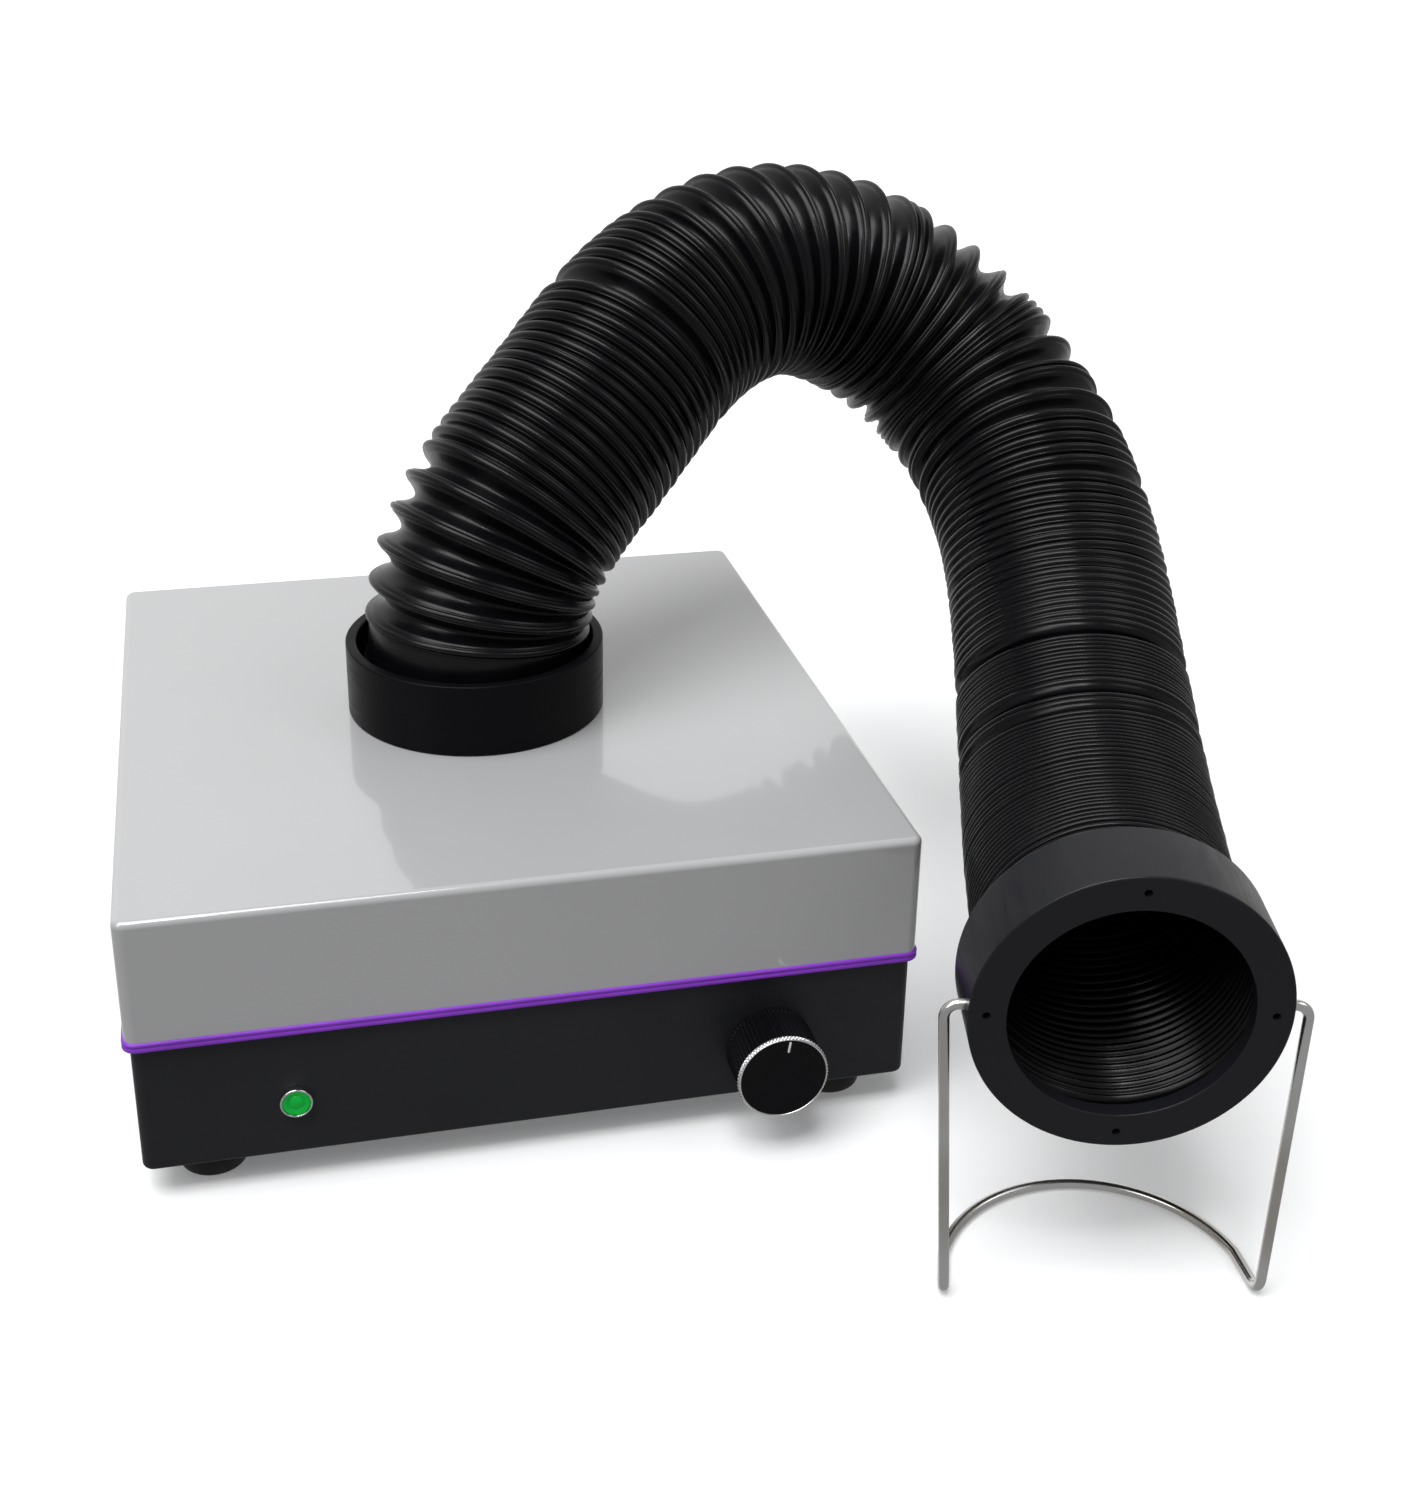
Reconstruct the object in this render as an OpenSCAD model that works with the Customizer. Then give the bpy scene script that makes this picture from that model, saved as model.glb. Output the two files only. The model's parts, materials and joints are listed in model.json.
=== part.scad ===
// Bench solder fume extractor: a steel filter housing with a radial fan,
// a stay-put suction hose and a nozzle that stands on a wire bail.

/* [Housing] */
// Width of the top cover
housing_w = 260; // [250:1:275]
// Depth of the top cover
housing_d = 272; // [262:1:285]
// Height of the top cover's sides
cover_h = 42.6; // [40:0.2:46]
// Height of the tray's sides
tray_h = 46.5; // [45.6:0.1:48]
// Height of the seal trim between cover and tray
trim_h = 4.2; // [3.6:0.2:5]
// How far the tray stands back from the cover on each side
tray_inset = 1.5; // [1:0.1:2]
// Sheet steel thickness
sheet_t = 1.2; // [1:0.1:1.5]
// Radius of the cover's edges and upright corners
edge_r = 4; // [3:0.5:5]
// Height of the rubber feet
foot_h = 11.5; // [9:0.5:14]
// Radius of a foot where it meets the tray
foot_r = 12; // [10:0.5:14]

/* [Speed knob and lamp] */
// Distance of the knob and the lamp from the middle of the front
control_x = 78.8; // [70:0.2:90]
// Height of the knob's axis above the underside of the tray
knob_z = 19.1; // [18:0.1:22]
// Height of the lamp's axis above the underside of the tray
lamp_z = 21.1; // [15:0.1:28]
// Radius of the knob's bright ring
knob_r = 15.6; // [13:0.2:16]
// How far the knob stands out of the tray's front
knob_reach = 20; // [17:0.5:22]
// Radius of the lamp's bezel
lamp_r = 5.3; // [5:0.1:7]

/* [Hose rings] */
// Outer radius of the moulded ring used as collar and as nozzle
ring_r = 47.4; // [46.8:0.1:49]
// Length of the ring
ring_h = 27; // [24:1:32]
// Radius of the bore through the ring's face
face_bore_r = 36; // [34:0.5:37]
// Thickness of the ring's face
face_t = 5.5; // [5.2:0.1:7]
// Radius of the socket that takes the hose
socket_r = 43.4; // [43.2:0.1:43.6]
// Radius of the circle of screw holes in the face
hole_circle_r = 42; // [41.8:0.1:42.2]
// Radius of a screw hole
hole_r = 1.25; // [1:0.05:1.4]

/* [Hose] */
// Outer radius of the hose over its ribs
hose_r = 41.8; // [41:0.1:42]
// Thickness of a plain wall with the same amount of material as the pleated one
hose_wall = 2; // [1.6:0.1:3]

/* [Nozzle and bail] */
// Turn of the nozzle about the upright axis
nozzle_turn = -12.4; // [-14:0.2:-10]
// How far the nozzle points down
nozzle_dip = 2.6; // [1:0.1:4]
// Radius of the bail wire
wire_r = 1.65; // [1.4:0.05:1.65]
// Distance of each bail leg from the nozzle's axis at the pivots
leg_top_x = 53.5; // [52:0.5:56]
// Distance of each bail leg from the middle at the bench
leg_foot_x = 48.3; // [46:0.1:50]
// How far the legs lean forward over their height
leg_lean = 8.8; // [4:0.2:12]

/* [Fan] */
// Radius of the impeller
impeller_r = 50; // [46:1:52]
// Height of the impeller
impeller_h = 23; // [18:1:24]
// Number of impeller blades
blade_count = 24; // [16:1:30]

/* [Hidden] */
$fn = 64;
eps = 0.5;

tray_w = housing_w - 2 * tray_inset;
tray_d = housing_d - 2 * tray_inset;
tray_r = edge_r;
tray_floor = foot_h + sheet_t;
tray_top = foot_h + tray_h;
cover_base = tray_top + trim_h;
cover_top = cover_base + cover_h;
inner_w = tray_w - 2 * sheet_t;
inner_d = tray_d - 2 * sheet_t;
front_y = -tray_d / 2;
rear_y = tray_d / 2;

// The part's origin: the middle of the whole footprint, housing and nozzle, on the bench
footprint_x = 68.3;
footprint_y = -58.4;

// Feet
foot_x = tray_w / 2 - 22;
foot_y = tray_d / 2 - 19;
foot_corners = [[-1, -1], [1, -1], [-1, 1], [1, 1]];

// Fan: a radial blower that draws down through the deck and blows out at the rear
fan_x = -20;
fan_y = 10;
fan_half = 66;
fan_h = 38;
fan_wall = 2;
fan_cover_t = 2;
scroll_r = 60;
outlet_w = 56;
outlet_x = fan_x + scroll_r - outlet_w / 2;
outlet_h = fan_h - 2 * fan_wall;
motor_r = 22;
motor_h = 10;
shaft_r = 2;
running_gap = 0.05;
impeller_z = tray_floor + fan_wall + motor_h + 1;
fan_inlet_r = 38;
deck_z = tray_floor + fan_h + fan_cover_t;
pillar_x = 112;
pillar_y = 100;
pillar_r = 4;
locator_drop = 7;
locator_h = 19;

// Filter stack on the deck
filter_w = 216;
frame_t = 1.2;
frame_h = 38;
hepa_h = 26;
carbon_h = 6;
prefilter_h = 3;
filter_z = deck_z + sheet_t + frame_t;

// Rear panel
inlet_x = 92;
inlet_z = foot_h + 22;
inlet_w = 27;
inlet_h = 19.6;
inlet_depth = 17;
inlet_screw_x = 20;
pin_pitch = 7;
pin_drop = 2;
pin_l = 17;
grille_margin = 6;
grille_slots = 9;

// Power board
board_x = 84;
board_y = 20;
board_w = 56;
board_d = 92;
board_z = tray_floor + 8;

// Knob and lamp stations on the tray's front
knob_station = [control_x, front_y, foot_h + knob_z];
lamp_station = [-control_x, front_y, foot_h + lamp_z];
knob_gap = 0.6;
pot_shaft_r = 3;
bush_r = 3.5;

// Nozzle
nozzle_face = [156.3, -239.5, 100.4];
pivot_back = 5.7;
pivot_gap = 0.05;
pin_end_x = 44.6;

// Hose route: the control points of a uniform cubic B-spline from the collar to the nozzle
hose_route = [
    [0, 0, 56], [0, 0, 110], [1, 0, 165], [47, 26, 202], [77, 54, 232],
    [127, 78, 252], [181, 88, 231], [221, 69, 194], [229, 20, 163], [220, -28, 139],
    [205, -78, 122], [188, -129, 113], [171, -182, 105], [157, -234, 101], [147, -288, 98]
];
// Where each stretch of hose begins and ends along the route
riser_span = [0.03, 2];
crown_span = [2, 4];
shoulder_span = [4, 7.25];
fall_span = [7.25, 7.75];
elbow_span = [7.75, 9.5];
front_span = [9.5, 10.25];
neck_span = [10.25, 11.95];
hose_sides = 28;
hose_rings_per_unit = 4;
hose_joint_gap = 0.003;
wire_sides = 8;

// ---------- Shared shapes ----------

// Moves the housing so that the footprint's middle is the origin
module at_housing() {
    translate([-footprint_x, -footprint_y, 0]) children();
}

// A rectangle with rounded corners
module rounded_plate(w, d, r) {
    square([w - 2 * r, d], center = true);
    square([w, d - 2 * r], center = true);
    for (x = [-1, 1], y = [-1, 1])
        translate([x * (w / 2 - r), y * (d / 2 - r)]) circle(r);
}

// A block with rounded upright corners and rounded top edges
module soft_block(w, d, h, r) {
    linear_extrude(h - r) rounded_plate(w, d, r);
    translate([0, 0, h - r]) {
        linear_extrude(r) square([w - 2 * r, d - 2 * r], center = true);
        for (y = [-1, 1])
            translate([0, y * (d / 2 - r), 0]) rotate([0, 90, 0])
                cylinder(r = r, h = w - 2 * r, center = true);
        for (x = [-1, 1])
            translate([x * (w / 2 - r), 0, 0]) rotate([90, 0, 0])
                cylinder(r = r, h = d - 2 * r, center = true);
        for (x = [-1, 1], y = [-1, 1])
            translate([x * (w / 2 - r), y * (d / 2 - r), 0]) sphere(r);
    }
}

// A closed rectangular frame, seen from above
module frame_wall(w, d, r, t, h) {
    difference() {
        linear_extrude(h) rounded_plate(w, d, r);
        translate([0, 0, -eps]) linear_extrude(h + 2 * eps)
            rounded_plate(w - 2 * t, d - 2 * t, max(r - t, 0.4));
    }
}

// A pan-head screw with its head on +Z and its shank on -Z
module pan_screw(shank_r, shank_l, head_r, head_h) {
    difference() {
        cylinder(r = head_r, h = head_h);
        for (a = [0, 90])
            rotate([0, 0, a]) translate([0, 0, head_h])
                cube([head_r * 1.2, head_r * 0.25, head_h * 0.8], center = true);
    }
    translate([0, 0, -shank_l]) cylinder(r = shank_r, h = shank_l + 0.01);
}

// A round rod between two points
module rod(from, to, r) {
    run = to - from;
    length = norm(run);
    translate(from)
        rotate([0, acos(run.z / length), atan2(run.y, run.x)])
            cylinder(r = r, h = length);
}

// Points and directions on a uniform cubic B-spline with control points p
function spline_point(p, s) =
    let (i = min(floor(s), len(p) - 4), t = s - i, u = 1 - t)
    (pow(u, 3) * p[i] + (3 * pow(t, 3) - 6 * t * t + 4) * p[i + 1]
    + (3 * pow(u, 3) - 6 * u * u + 4) * p[i + 2] + pow(t, 3) * p[i + 3]) / 6;

function unit(v) = v / norm(v);

function spline_dir(p, s) = unit(spline_point(p, s + 0.01) - spline_point(p, s - 0.01));

// One ring of points round the spline; lean sets which way the seam faces
function spline_ring(p, s, r, sides, lean) =
    let (c = spline_point(p, s), d = spline_dir(p, s), a = unit(cross(d, lean)), b = cross(d, a))
    [for (k = [0:sides - 1]) c + r * (cos(360 * k / sides) * a + sin(360 * k / sides) * b)];

// A solid rod along a spline
module spline_rod(p, r, sides, steps, lean) {
    last = len(p) - 3 - 0.02;
    rings = [for (j = [0:steps]) spline_ring(p, 0.02 + (last - 0.02) * j / steps, r, sides, lean)];
    points = [for (ring = rings) for (q = ring) q];
    sides_faces = [for (j = [0:steps - 1], k = [0:sides - 1])
        let (n = (k + 1) % sides, a = j * sides, b = a + sides)
        each [[a + k, a + n, b + n], [a + k, b + n, b + k]]];
    ends = [[for (k = [sides - 1:-1:0]) k], [for (k = [0:sides - 1]) steps * sides + k]];
    polyhedron(points, concat(sides_faces, ends));
}

// A tube along a stretch of the hose route, a hair short of the stretch that follows it
module hose_stretch(span) {
    run = span[1] - span[0] - hose_joint_gap;
    steps = ceil(run * hose_rings_per_unit);
    lean = [1, 1.2, -1];
    stations = [for (j = [0:steps]) span[0] + run * j / steps];
    outer = [for (s = stations) each spline_ring(hose_route, s, hose_r, hose_sides, lean)];
    inner = [for (s = stations)
        each spline_ring(hose_route, s, hose_r - hose_wall, hose_sides, lean)];
    m = len(outer);
    walls = [for (j = [0:steps - 1], k = [0:hose_sides - 1])
        let (n = (k + 1) % hose_sides, a = j * hose_sides, b = a + hose_sides)
        each [[a + k, a + n, b + n], [a + k, b + n, b + k],
            [m + a + n, m + a + k, m + b + k], [m + a + n, m + b + k, m + b + n]]];
    top = steps * hose_sides;
    ends = [for (k = [0:hose_sides - 1]) let (n = (k + 1) % hose_sides)
        each [[n, k, m + k, m + n], [top + k, top + n, m + top + n, m + top + k]]];
    color("#17181a") polyhedron(concat(outer, inner), concat(walls, ends));
}

// The moulded hose ring: face at z = 0, socket opening on +Z
module hose_ring() {
    chamfer = 0.8;
    difference() {
        rotate_extrude($fn = 96) polygon([
            [face_bore_r, 0], [ring_r - chamfer, 0], [ring_r, chamfer],
            [ring_r, ring_h - chamfer], [ring_r - chamfer, ring_h],
            [socket_r, ring_h], [socket_r, face_t], [face_bore_r, face_t]
        ]);
        for (a = [0:90:270])
            rotate([0, 0, a]) translate([hole_circle_r, 0, -eps])
                cylinder(r = hole_r, h = face_t - 1 + eps, $fn = 24);
    }
}

// The nozzle's own frame: -Y is outward through the face, X is to the right
module at_nozzle() {
    at_housing() translate(nozzle_face)
        rotate([0, 0, nozzle_turn]) rotate([nozzle_dip, 0, 0]) children();
}

// A frame on the tray's front, with +Z outward
module at_front(station) {
    at_housing() translate(station) rotate([90, 0, 0]) children();
}

// A frame on the tray's rear, with +Z outward
module at_rear(x, z) {
    at_housing() translate([x, rear_y, z]) rotate([-90, 0, 0]) children();
}

// ---------- Tray and feet ----------

module tray() {
    color("#232528") difference() {
        at_housing() translate([0, 0, foot_h]) difference() {
            linear_extrude(tray_h) rounded_plate(tray_w, tray_d, tray_r);
            translate([0, 0, sheet_t]) linear_extrude(tray_h)
                rounded_plate(inner_w, inner_d, tray_r - sheet_t);
        }
        at_front(knob_station) cylinder(r = bush_r + 0.1, h = 10, center = true);
        at_front(lamp_station) cylinder(r = 4.1, h = 10, center = true);
        at_rear(outlet_x, tray_floor + fan_h / 2)
            cube([outlet_w, outlet_h, 10], center = true);
        at_rear(inlet_x, inlet_z) {
            cube([inlet_w + 0.4, inlet_h + 0.4, 10], center = true);
            for (x = [-1, 1])
                translate([x * inlet_screw_x, 0, 0]) cylinder(r = 1.55, h = 10, center = true);
        }
        for (c = foot_corners)
            at_housing() translate([c.x * foot_x, c.y * foot_y, foot_h - eps])
                cylinder(r = 2.05, h = sheet_t + 2 * eps);
    }
}

// Rubber foot with a recess for its screw head
module foot(corner) {
    color("#141414") at_housing() translate([corner.x * foot_x, corner.y * foot_y, 0])
        difference() {
            rotate_extrude() polygon([
                [0, 0], [foot_r - 3.1, 0], [foot_r - 2.2, 0.5], [foot_r - 0.5, foot_h - 1.5],
                [foot_r, foot_h - 0.8], [foot_r, foot_h], [0, foot_h]
            ]);
            translate([0, 0, -eps]) cylinder(r = 4.6, h = 5 + eps);
            translate([0, 0, -eps]) cylinder(r = 2.05, h = foot_h + 2 * eps);
        }
}

module foot_front_left() { foot(foot_corners[0]); }
module foot_front_right() { foot(foot_corners[1]); }
module foot_rear_left() { foot(foot_corners[2]); }
module foot_rear_right() { foot(foot_corners[3]); }

module foot_screws() {
    for (c = foot_corners)
        color("#b8bcc0") at_housing() translate([c.x * foot_x, c.y * foot_y, 5])
            rotate([180, 0, 0]) {
                pan_screw(1.95, foot_h - 5 + sheet_t + 4, 3.8, 2.4);
                translate([0, 0, -(foot_h - 5 + sheet_t + 3)])
                    cylinder(r = 4, h = 3, $fn = 6);
            }
}

// ---------- Deck and fan ----------

// Angle frame that centres the cover on the tray
module cover_locator() {
    color("#8f9397") at_housing() {
        translate([0, 0, tray_top - locator_drop])
            frame_wall(inner_w, inner_d, tray_r - sheet_t, sheet_t, locator_h);
    }
}

module deck_pillars() {
    for (x = [-1, 1], y = [-1, 1])
        color("#c2b280") at_housing() translate([x * pillar_x, y * pillar_y, tray_floor])
            difference() {
                cylinder(r = pillar_r, h = deck_z - tray_floor, $fn = 6);
                translate([0, 0, deck_z - tray_floor - 10]) cylinder(r = 1.6, h = 11);
            }
}

module deck_plate() {
    color("#a9adb1") at_housing() difference() {
        translate([0, 0, deck_z]) linear_extrude(sheet_t)
            rounded_plate(inner_w - 2 * sheet_t - 1, inner_d - 2 * sheet_t - 1, 2);
        translate([fan_x, fan_y, deck_z - eps]) cylinder(r = fan_inlet_r, h = sheet_t + 2 * eps);
        for (x = [-1, 1], y = [-1, 1])
            translate([x * pillar_x, y * pillar_y, deck_z - eps])
                cylinder(r = 1.6, h = sheet_t + 2 * eps);
    }
}

module deck_screws() {
    for (x = [-1, 1], y = [-1, 1])
        color("#b8bcc0") at_housing()
            translate([x * pillar_x, y * pillar_y, deck_z + sheet_t])
                pan_screw(1.5, 9, 2.8, 1.4);
}

// Scroll housing: the impeller's round well opens into a straight outlet at the rear
module fan_housing() {
    outlet_end = rear_y - sheet_t;
    color("#2b2d30") at_housing() difference() {
        translate([fan_x - fan_half, fan_y - fan_half, tray_floor])
            cube([2 * fan_half, outlet_end - fan_y + fan_half, fan_h]);
        translate([fan_x, fan_y, tray_floor + fan_wall])
            cylinder(r = scroll_r, h = fan_h);
        translate([outlet_x - outlet_w / 2, fan_y, tray_floor + fan_wall])
            cube([outlet_w, outlet_end - fan_y + eps, outlet_h]);
        // The corner beside the outlet is cut away to save plastic
        translate([fan_x - fan_half - eps, fan_y + fan_half, tray_floor - eps])
            cube([outlet_x - outlet_w / 2 - fan_x + fan_half - fan_wall + eps, 80, fan_h + 2 * eps]);
        fan_screw_places() translate([0, 0, -6]) cylinder(r = 1.3, h = 7);
    }
}

module fan_screw_places() {
    for (x = [-1, 1], y = [-1, 1])
        translate([fan_x + x * (fan_half - 5), fan_y + y * (fan_half - 5), tray_floor + fan_h])
            children();
}

module fan_cover() {
    color("#303236") at_housing() difference() {
        translate([fan_x, fan_y, tray_floor + fan_h]) linear_extrude(fan_cover_t)
            rounded_plate(2 * fan_half, 2 * fan_half, 4);
        translate([fan_x, fan_y, tray_floor]) cylinder(r = fan_inlet_r, h = fan_h * 2);
        fan_screw_places() {
            translate([0, 0, -eps]) cylinder(r = 1.6, h = fan_cover_t + 2 * eps);
            translate([0, 0, 0.5]) cylinder(r = 3, h = fan_cover_t);
        }
    }
}

module fan_screws() {
    color("#b8bcc0") at_housing() fan_screw_places()
        translate([0, 0, 0.5]) pan_screw(1.2, 6, 2.6, 1.4);
}

module fan_motor() {
    color("#55585c") at_housing() translate([fan_x, fan_y, tray_floor + fan_wall]) difference() {
        cylinder(r = motor_r, h = motor_h);
        translate([0, 0, 1]) cylinder(r = shaft_r + running_gap, h = motor_h);
    }
}

module fan_impeller() {
    hub_r = 16;
    disc_t = 1.5;
    ring_t = 2;
    blade_t = 1.2;
    blade_w = 13;
    color("#3a3d41") at_housing() translate([fan_x, fan_y, impeller_z]) difference() {
        union() {
            cylinder(r = impeller_r, h = disc_t);
            cylinder(r = hub_r, h = 12);
            translate([0, 0, impeller_h - ring_t]) difference() {
                cylinder(r = impeller_r, h = ring_t);
                translate([0, 0, -eps]) cylinder(r = impeller_r - 4, h = ring_t + 2 * eps);
            }
            for (i = [0:blade_count - 1])
                rotate([0, 0, 360 * i / blade_count])
                    translate([impeller_r - blade_w * 0.45 - 1.5, 0, impeller_h / 2])
                        rotate([0, 0, 35]) cube([blade_w, blade_t, impeller_h - 0.4], center = true);
        }
        translate([0, 0, -eps]) cylinder(r = shaft_r, h = 11);
    }
}

module fan_shaft() {
    color("#d0d3d6") at_housing()
        translate([fan_x, fan_y, tray_floor + fan_wall + 1.3])
            cylinder(r = shaft_r, h = impeller_z + 10 - tray_floor - fan_wall - 1.3);
}

// ---------- Rear panel ----------

module exhaust_grille() {
    w = outlet_w + 2 * grille_margin;
    h = outlet_h + 2 * (grille_margin - 2);
    pitch = outlet_w / grille_slots;
    color("#1c1d1f") at_rear(outlet_x, tray_floor + fan_h / 2) difference() {
        linear_extrude(sheet_t) rounded_plate(w, h, 3);
        for (i = [0:grille_slots - 1])
            translate([(i - (grille_slots - 1) / 2) * pitch, 0, 0])
                cube([pitch * 0.62, outlet_h - 2, 10], center = true);
        grille_screw_places() translate([0, 0, -eps]) cylinder(r = 1.3, h = 5);
    }
}

module grille_screw_places() {
    for (x = [-1, 1])
        translate([x * (outlet_w / 2 + grille_margin / 2), 0, 0]) children();
}

module grille_screws() {
    color("#33353a") at_rear(outlet_x, tray_floor + fan_h / 2) grille_screw_places()
        translate([0, 0, sheet_t]) pan_screw(1.25, sheet_t, 2.3, 1.2);
}

module power_inlet() {
    flange_t = 2;
    wall = 1.5;
    color("#1b1c1e") at_rear(inlet_x, inlet_z) difference() {
        union() {
            linear_extrude(flange_t) rounded_plate(2 * inlet_screw_x + 9, inlet_h + 4, 3);
            translate([0, 0, -inlet_depth / 2])
                cube([inlet_w, inlet_h, inlet_depth], center = true);
        }
        translate([0, 0, flange_t - 7])
            cube([inlet_w - 2 * wall, inlet_h - 2 * wall, 16], center = true);
        inlet_pin_blades();
        for (x = [-1, 1])
            translate([x * inlet_screw_x, 0, -eps]) cylinder(r = 1.55, h = flange_t + 2 * eps);
    }
}

// The three contact blades, which pass through the inlet's back wall
module inlet_pin_blades() {
    for (x = [-1, 0, 1])
        translate([x * pin_pitch, x == 0 ? pin_drop : -pin_drop, -inlet_depth / 2 - 4.5])
            cube([2, 4, pin_l], center = true);
}

module inlet_pins() {
    color("#c9a24a") at_rear(inlet_x, inlet_z) inlet_pin_blades();
}

module inlet_screws() {
    color("#b8bcc0") at_rear(inlet_x, inlet_z)
        for (x = [-1, 1])
            translate([x * inlet_screw_x, 0, 2]) pan_screw(1.45, 8, 2.6, 1.2);
}

// ---------- Power board ----------

module board_corners() {
    for (x = [-1, 1], y = [-1, 1])
        translate([board_x + x * (board_w / 2 - 5), board_y + y * (board_d / 2 - 5), 0]) children();
}

module power_board() {
    color("#1f6b3a") at_housing() difference() {
        translate([board_x - board_w / 2, board_y - board_d / 2, board_z])
            cube([board_w, board_d, 1.6]);
        board_corners() translate([0, 0, board_z - eps]) cylinder(r = 1.6, h = 3);
    }
}

module board_components() {
    top = board_z + 1.6;
    color("#3b3f45") at_housing() {
        translate([board_x - 6, board_y + 20, top]) linear_extrude(16)
            rounded_plate(26, 24, 1);
        for (x = [-1, 1])
            translate([board_x + x * 11, board_y - 12, top]) cylinder(r = 7, h = 18);
        translate([board_x + 18, board_y + 24, top]) cylinder(r = 4, h = 12);
        translate([board_x, board_y - 36, top]) linear_extrude(9) rounded_plate(30, 8, 0.8);
    }
}

module board_standoffs() {
    color("#d8d8d2") at_housing() board_corners() {
        translate([0, 0, tray_floor]) cylinder(r = 3, h = board_z - tray_floor, $fn = 6);
        translate([0, 0, board_z - 0.01]) cylinder(r = 1.5, h = 3.5);
    }
}

// ---------- Front controls ----------

module speed_pot() {
    color("#7d8185") at_front(knob_station) difference() {
        union() {
            translate([0, 0, -sheet_t - 9]) cylinder(r = 8.5, h = 9);
            translate([0, 0, -sheet_t - 0.01]) cylinder(r = bush_r, h = sheet_t + 4.5);
        }
        translate([0, 0, -sheet_t - 7]) cylinder(r = pot_shaft_r + running_gap, h = 20);
    }
}

module pot_nut() {
    color("#c4c7ca") at_front(knob_station) difference() {
        cylinder(r = 5.7, h = 2.2, $fn = 6);
        translate([0, 0, -eps]) cylinder(r = bush_r + 0.02, h = 4);
    }
}

module pot_shaft() {
    color("#d0d3d6") at_front(knob_station)
        translate([0, 0, -sheet_t - 6.7]) cylinder(r = pot_shaft_r, h = sheet_t + 6.7 + 14);
}

module speed_knob() {
    teeth = 48;
    skirt_r = knob_r - 0.9;
    face_z = knob_reach;
    color("#121314") at_front(knob_station) difference() {
        translate([0, 0, knob_gap]) {
            linear_extrude(face_z - knob_gap - 3) polygon([
                for (i = [0:2 * teeth - 1])
                    (skirt_r + (i % 2 == 0 ? 0.35 : -0.35))
                    * [cos(180 * i / teeth), sin(180 * i / teeth)]
            ]);
            cylinder(r = knob_r - 2.6, h = face_z - knob_gap);
        }
        translate([0, 0, knob_gap - eps]) cylinder(r = 7.5, h = 4.6 + eps);
        translate([0, 0, 0]) cylinder(r = pot_shaft_r, h = 14);
        translate([0, 0, 8.5]) rotate([-90, 0, 0]) cylinder(r = 1.5, h = 30, $fn = 24);
    }
}

// Bright ring round the knob's face, with a bevel
module knob_ring() {
    color("#d9dbde") at_front(knob_station) rotate_extrude() polygon([
        [knob_r - 2.6, knob_reach - 3], [knob_r, knob_reach - 3], [knob_r, knob_reach - 1.8],
        [knob_r - 1.6, knob_reach - 0.1], [knob_r - 2.6, knob_reach - 0.1]
    ]);
}

// White index mark on the knob's face
module knob_pointer() {
    color("#f4f4f2") at_front(knob_station) rotate([0, 0, -8])
        translate([-0.45, knob_r - 7.2, knob_reach]) cube([0.9, 4.2, 0.2]);
}

module knob_set_screw() {
    color("#5a5d60") at_front(knob_station) translate([0, 0, 8.5]) rotate([-90, 0, 0])
        translate([0, 0, pot_shaft_r]) cylinder(r = 1.45, h = 6, $fn = 24);
}

module lamp_body() {
    color("#e4e4de") at_front(lamp_station)
        translate([0, 0, -16]) cylinder(r = 4, h = 16);
}

module lamp_bezel() {
    color("#c9ccd0") at_front(lamp_station) rotate_extrude() polygon([
        [0, 0], [lamp_r, 0], [lamp_r, 1.6], [lamp_r - 0.7, 3],
        [lamp_r - 1.1, 3], [lamp_r - 1.3, 1], [0, 1]
    ]);
}

module lamp_lens() {
    color("#12a150") at_front(lamp_station) rotate_extrude() polygon([
        [0, 1], [lamp_r - 1.35, 1], [lamp_r - 1.15, 2.5], [2.2, 2.1], [1.8, 2.5], [0, 2.6]
    ]);
}

module lamp_nut() {
    color("#c4c7ca") at_front(lamp_station) translate([0, 0, -sheet_t - 2.5]) difference() {
        cylinder(r = 6.5, h = 2.5, $fn = 6);
        translate([0, 0, -eps]) cylinder(r = 4.02, h = 4);
    }
}

// ---------- Leads inside the tray ----------

module lead(route, r, tint) {
    color(tint) at_housing() spline_rod(route, r, wire_sides, 24, [0.3, 0.2, 1]);
}

module lamp_lead() {
    lead([
        [-79, -128, 32.6], [-79, -118, 32.6], [-79, -108, 32.6], [-60, -96, 22], [-10, -92, 17],
        [40, -90, 17], [64, -60, 24], [74, -24, 36], [76, -16, 38], [76, -16, 31.6],
        [76, -16, 25.2]
    ], 1.2, "#b3282d");
}

module pot_lead() {
    lead([
        [79, -134, 30], [79, -124, 30], [79, -114, 30], [86, -100, 33], [94, -70, 38],
        [94, -36, 42], [90, -16, 40], [90, -16, 31.6], [90, -16, 23.2]
    ], 1.2, "#d8a520");
}

module fan_lead() {
    lead([
        [38, -34, 24], [46.4, -34, 24], [54.8, -34, 24], [66, -36, 26], [76, -34, 27],
        [80, -27, 27], [80, -20.6, 27], [80, -14.2, 27]
    ], 1.1, "#2a2c30");
}

module mains_lead() {
    lead([
        [92, 122, 33.5], [92, 112, 33.5], [92, 102, 33.5], [100, 90, 36], [102, 72, 38],
        [100, 60, 31], [100, 60, 22.6], [100, 60, 14.2]
    ], 2.2, "#3a5fa8");
}

// ---------- Filters ----------

module filter_frame() {
    color("#9a9ea2") at_housing() translate([0, 0, deck_z + sheet_t]) {
        frame_wall(filter_w, filter_w, 1.5, frame_t, frame_h);
        frame_wall(filter_w - 1, filter_w - 1, 1, 8, frame_t);
    }
}

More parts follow.
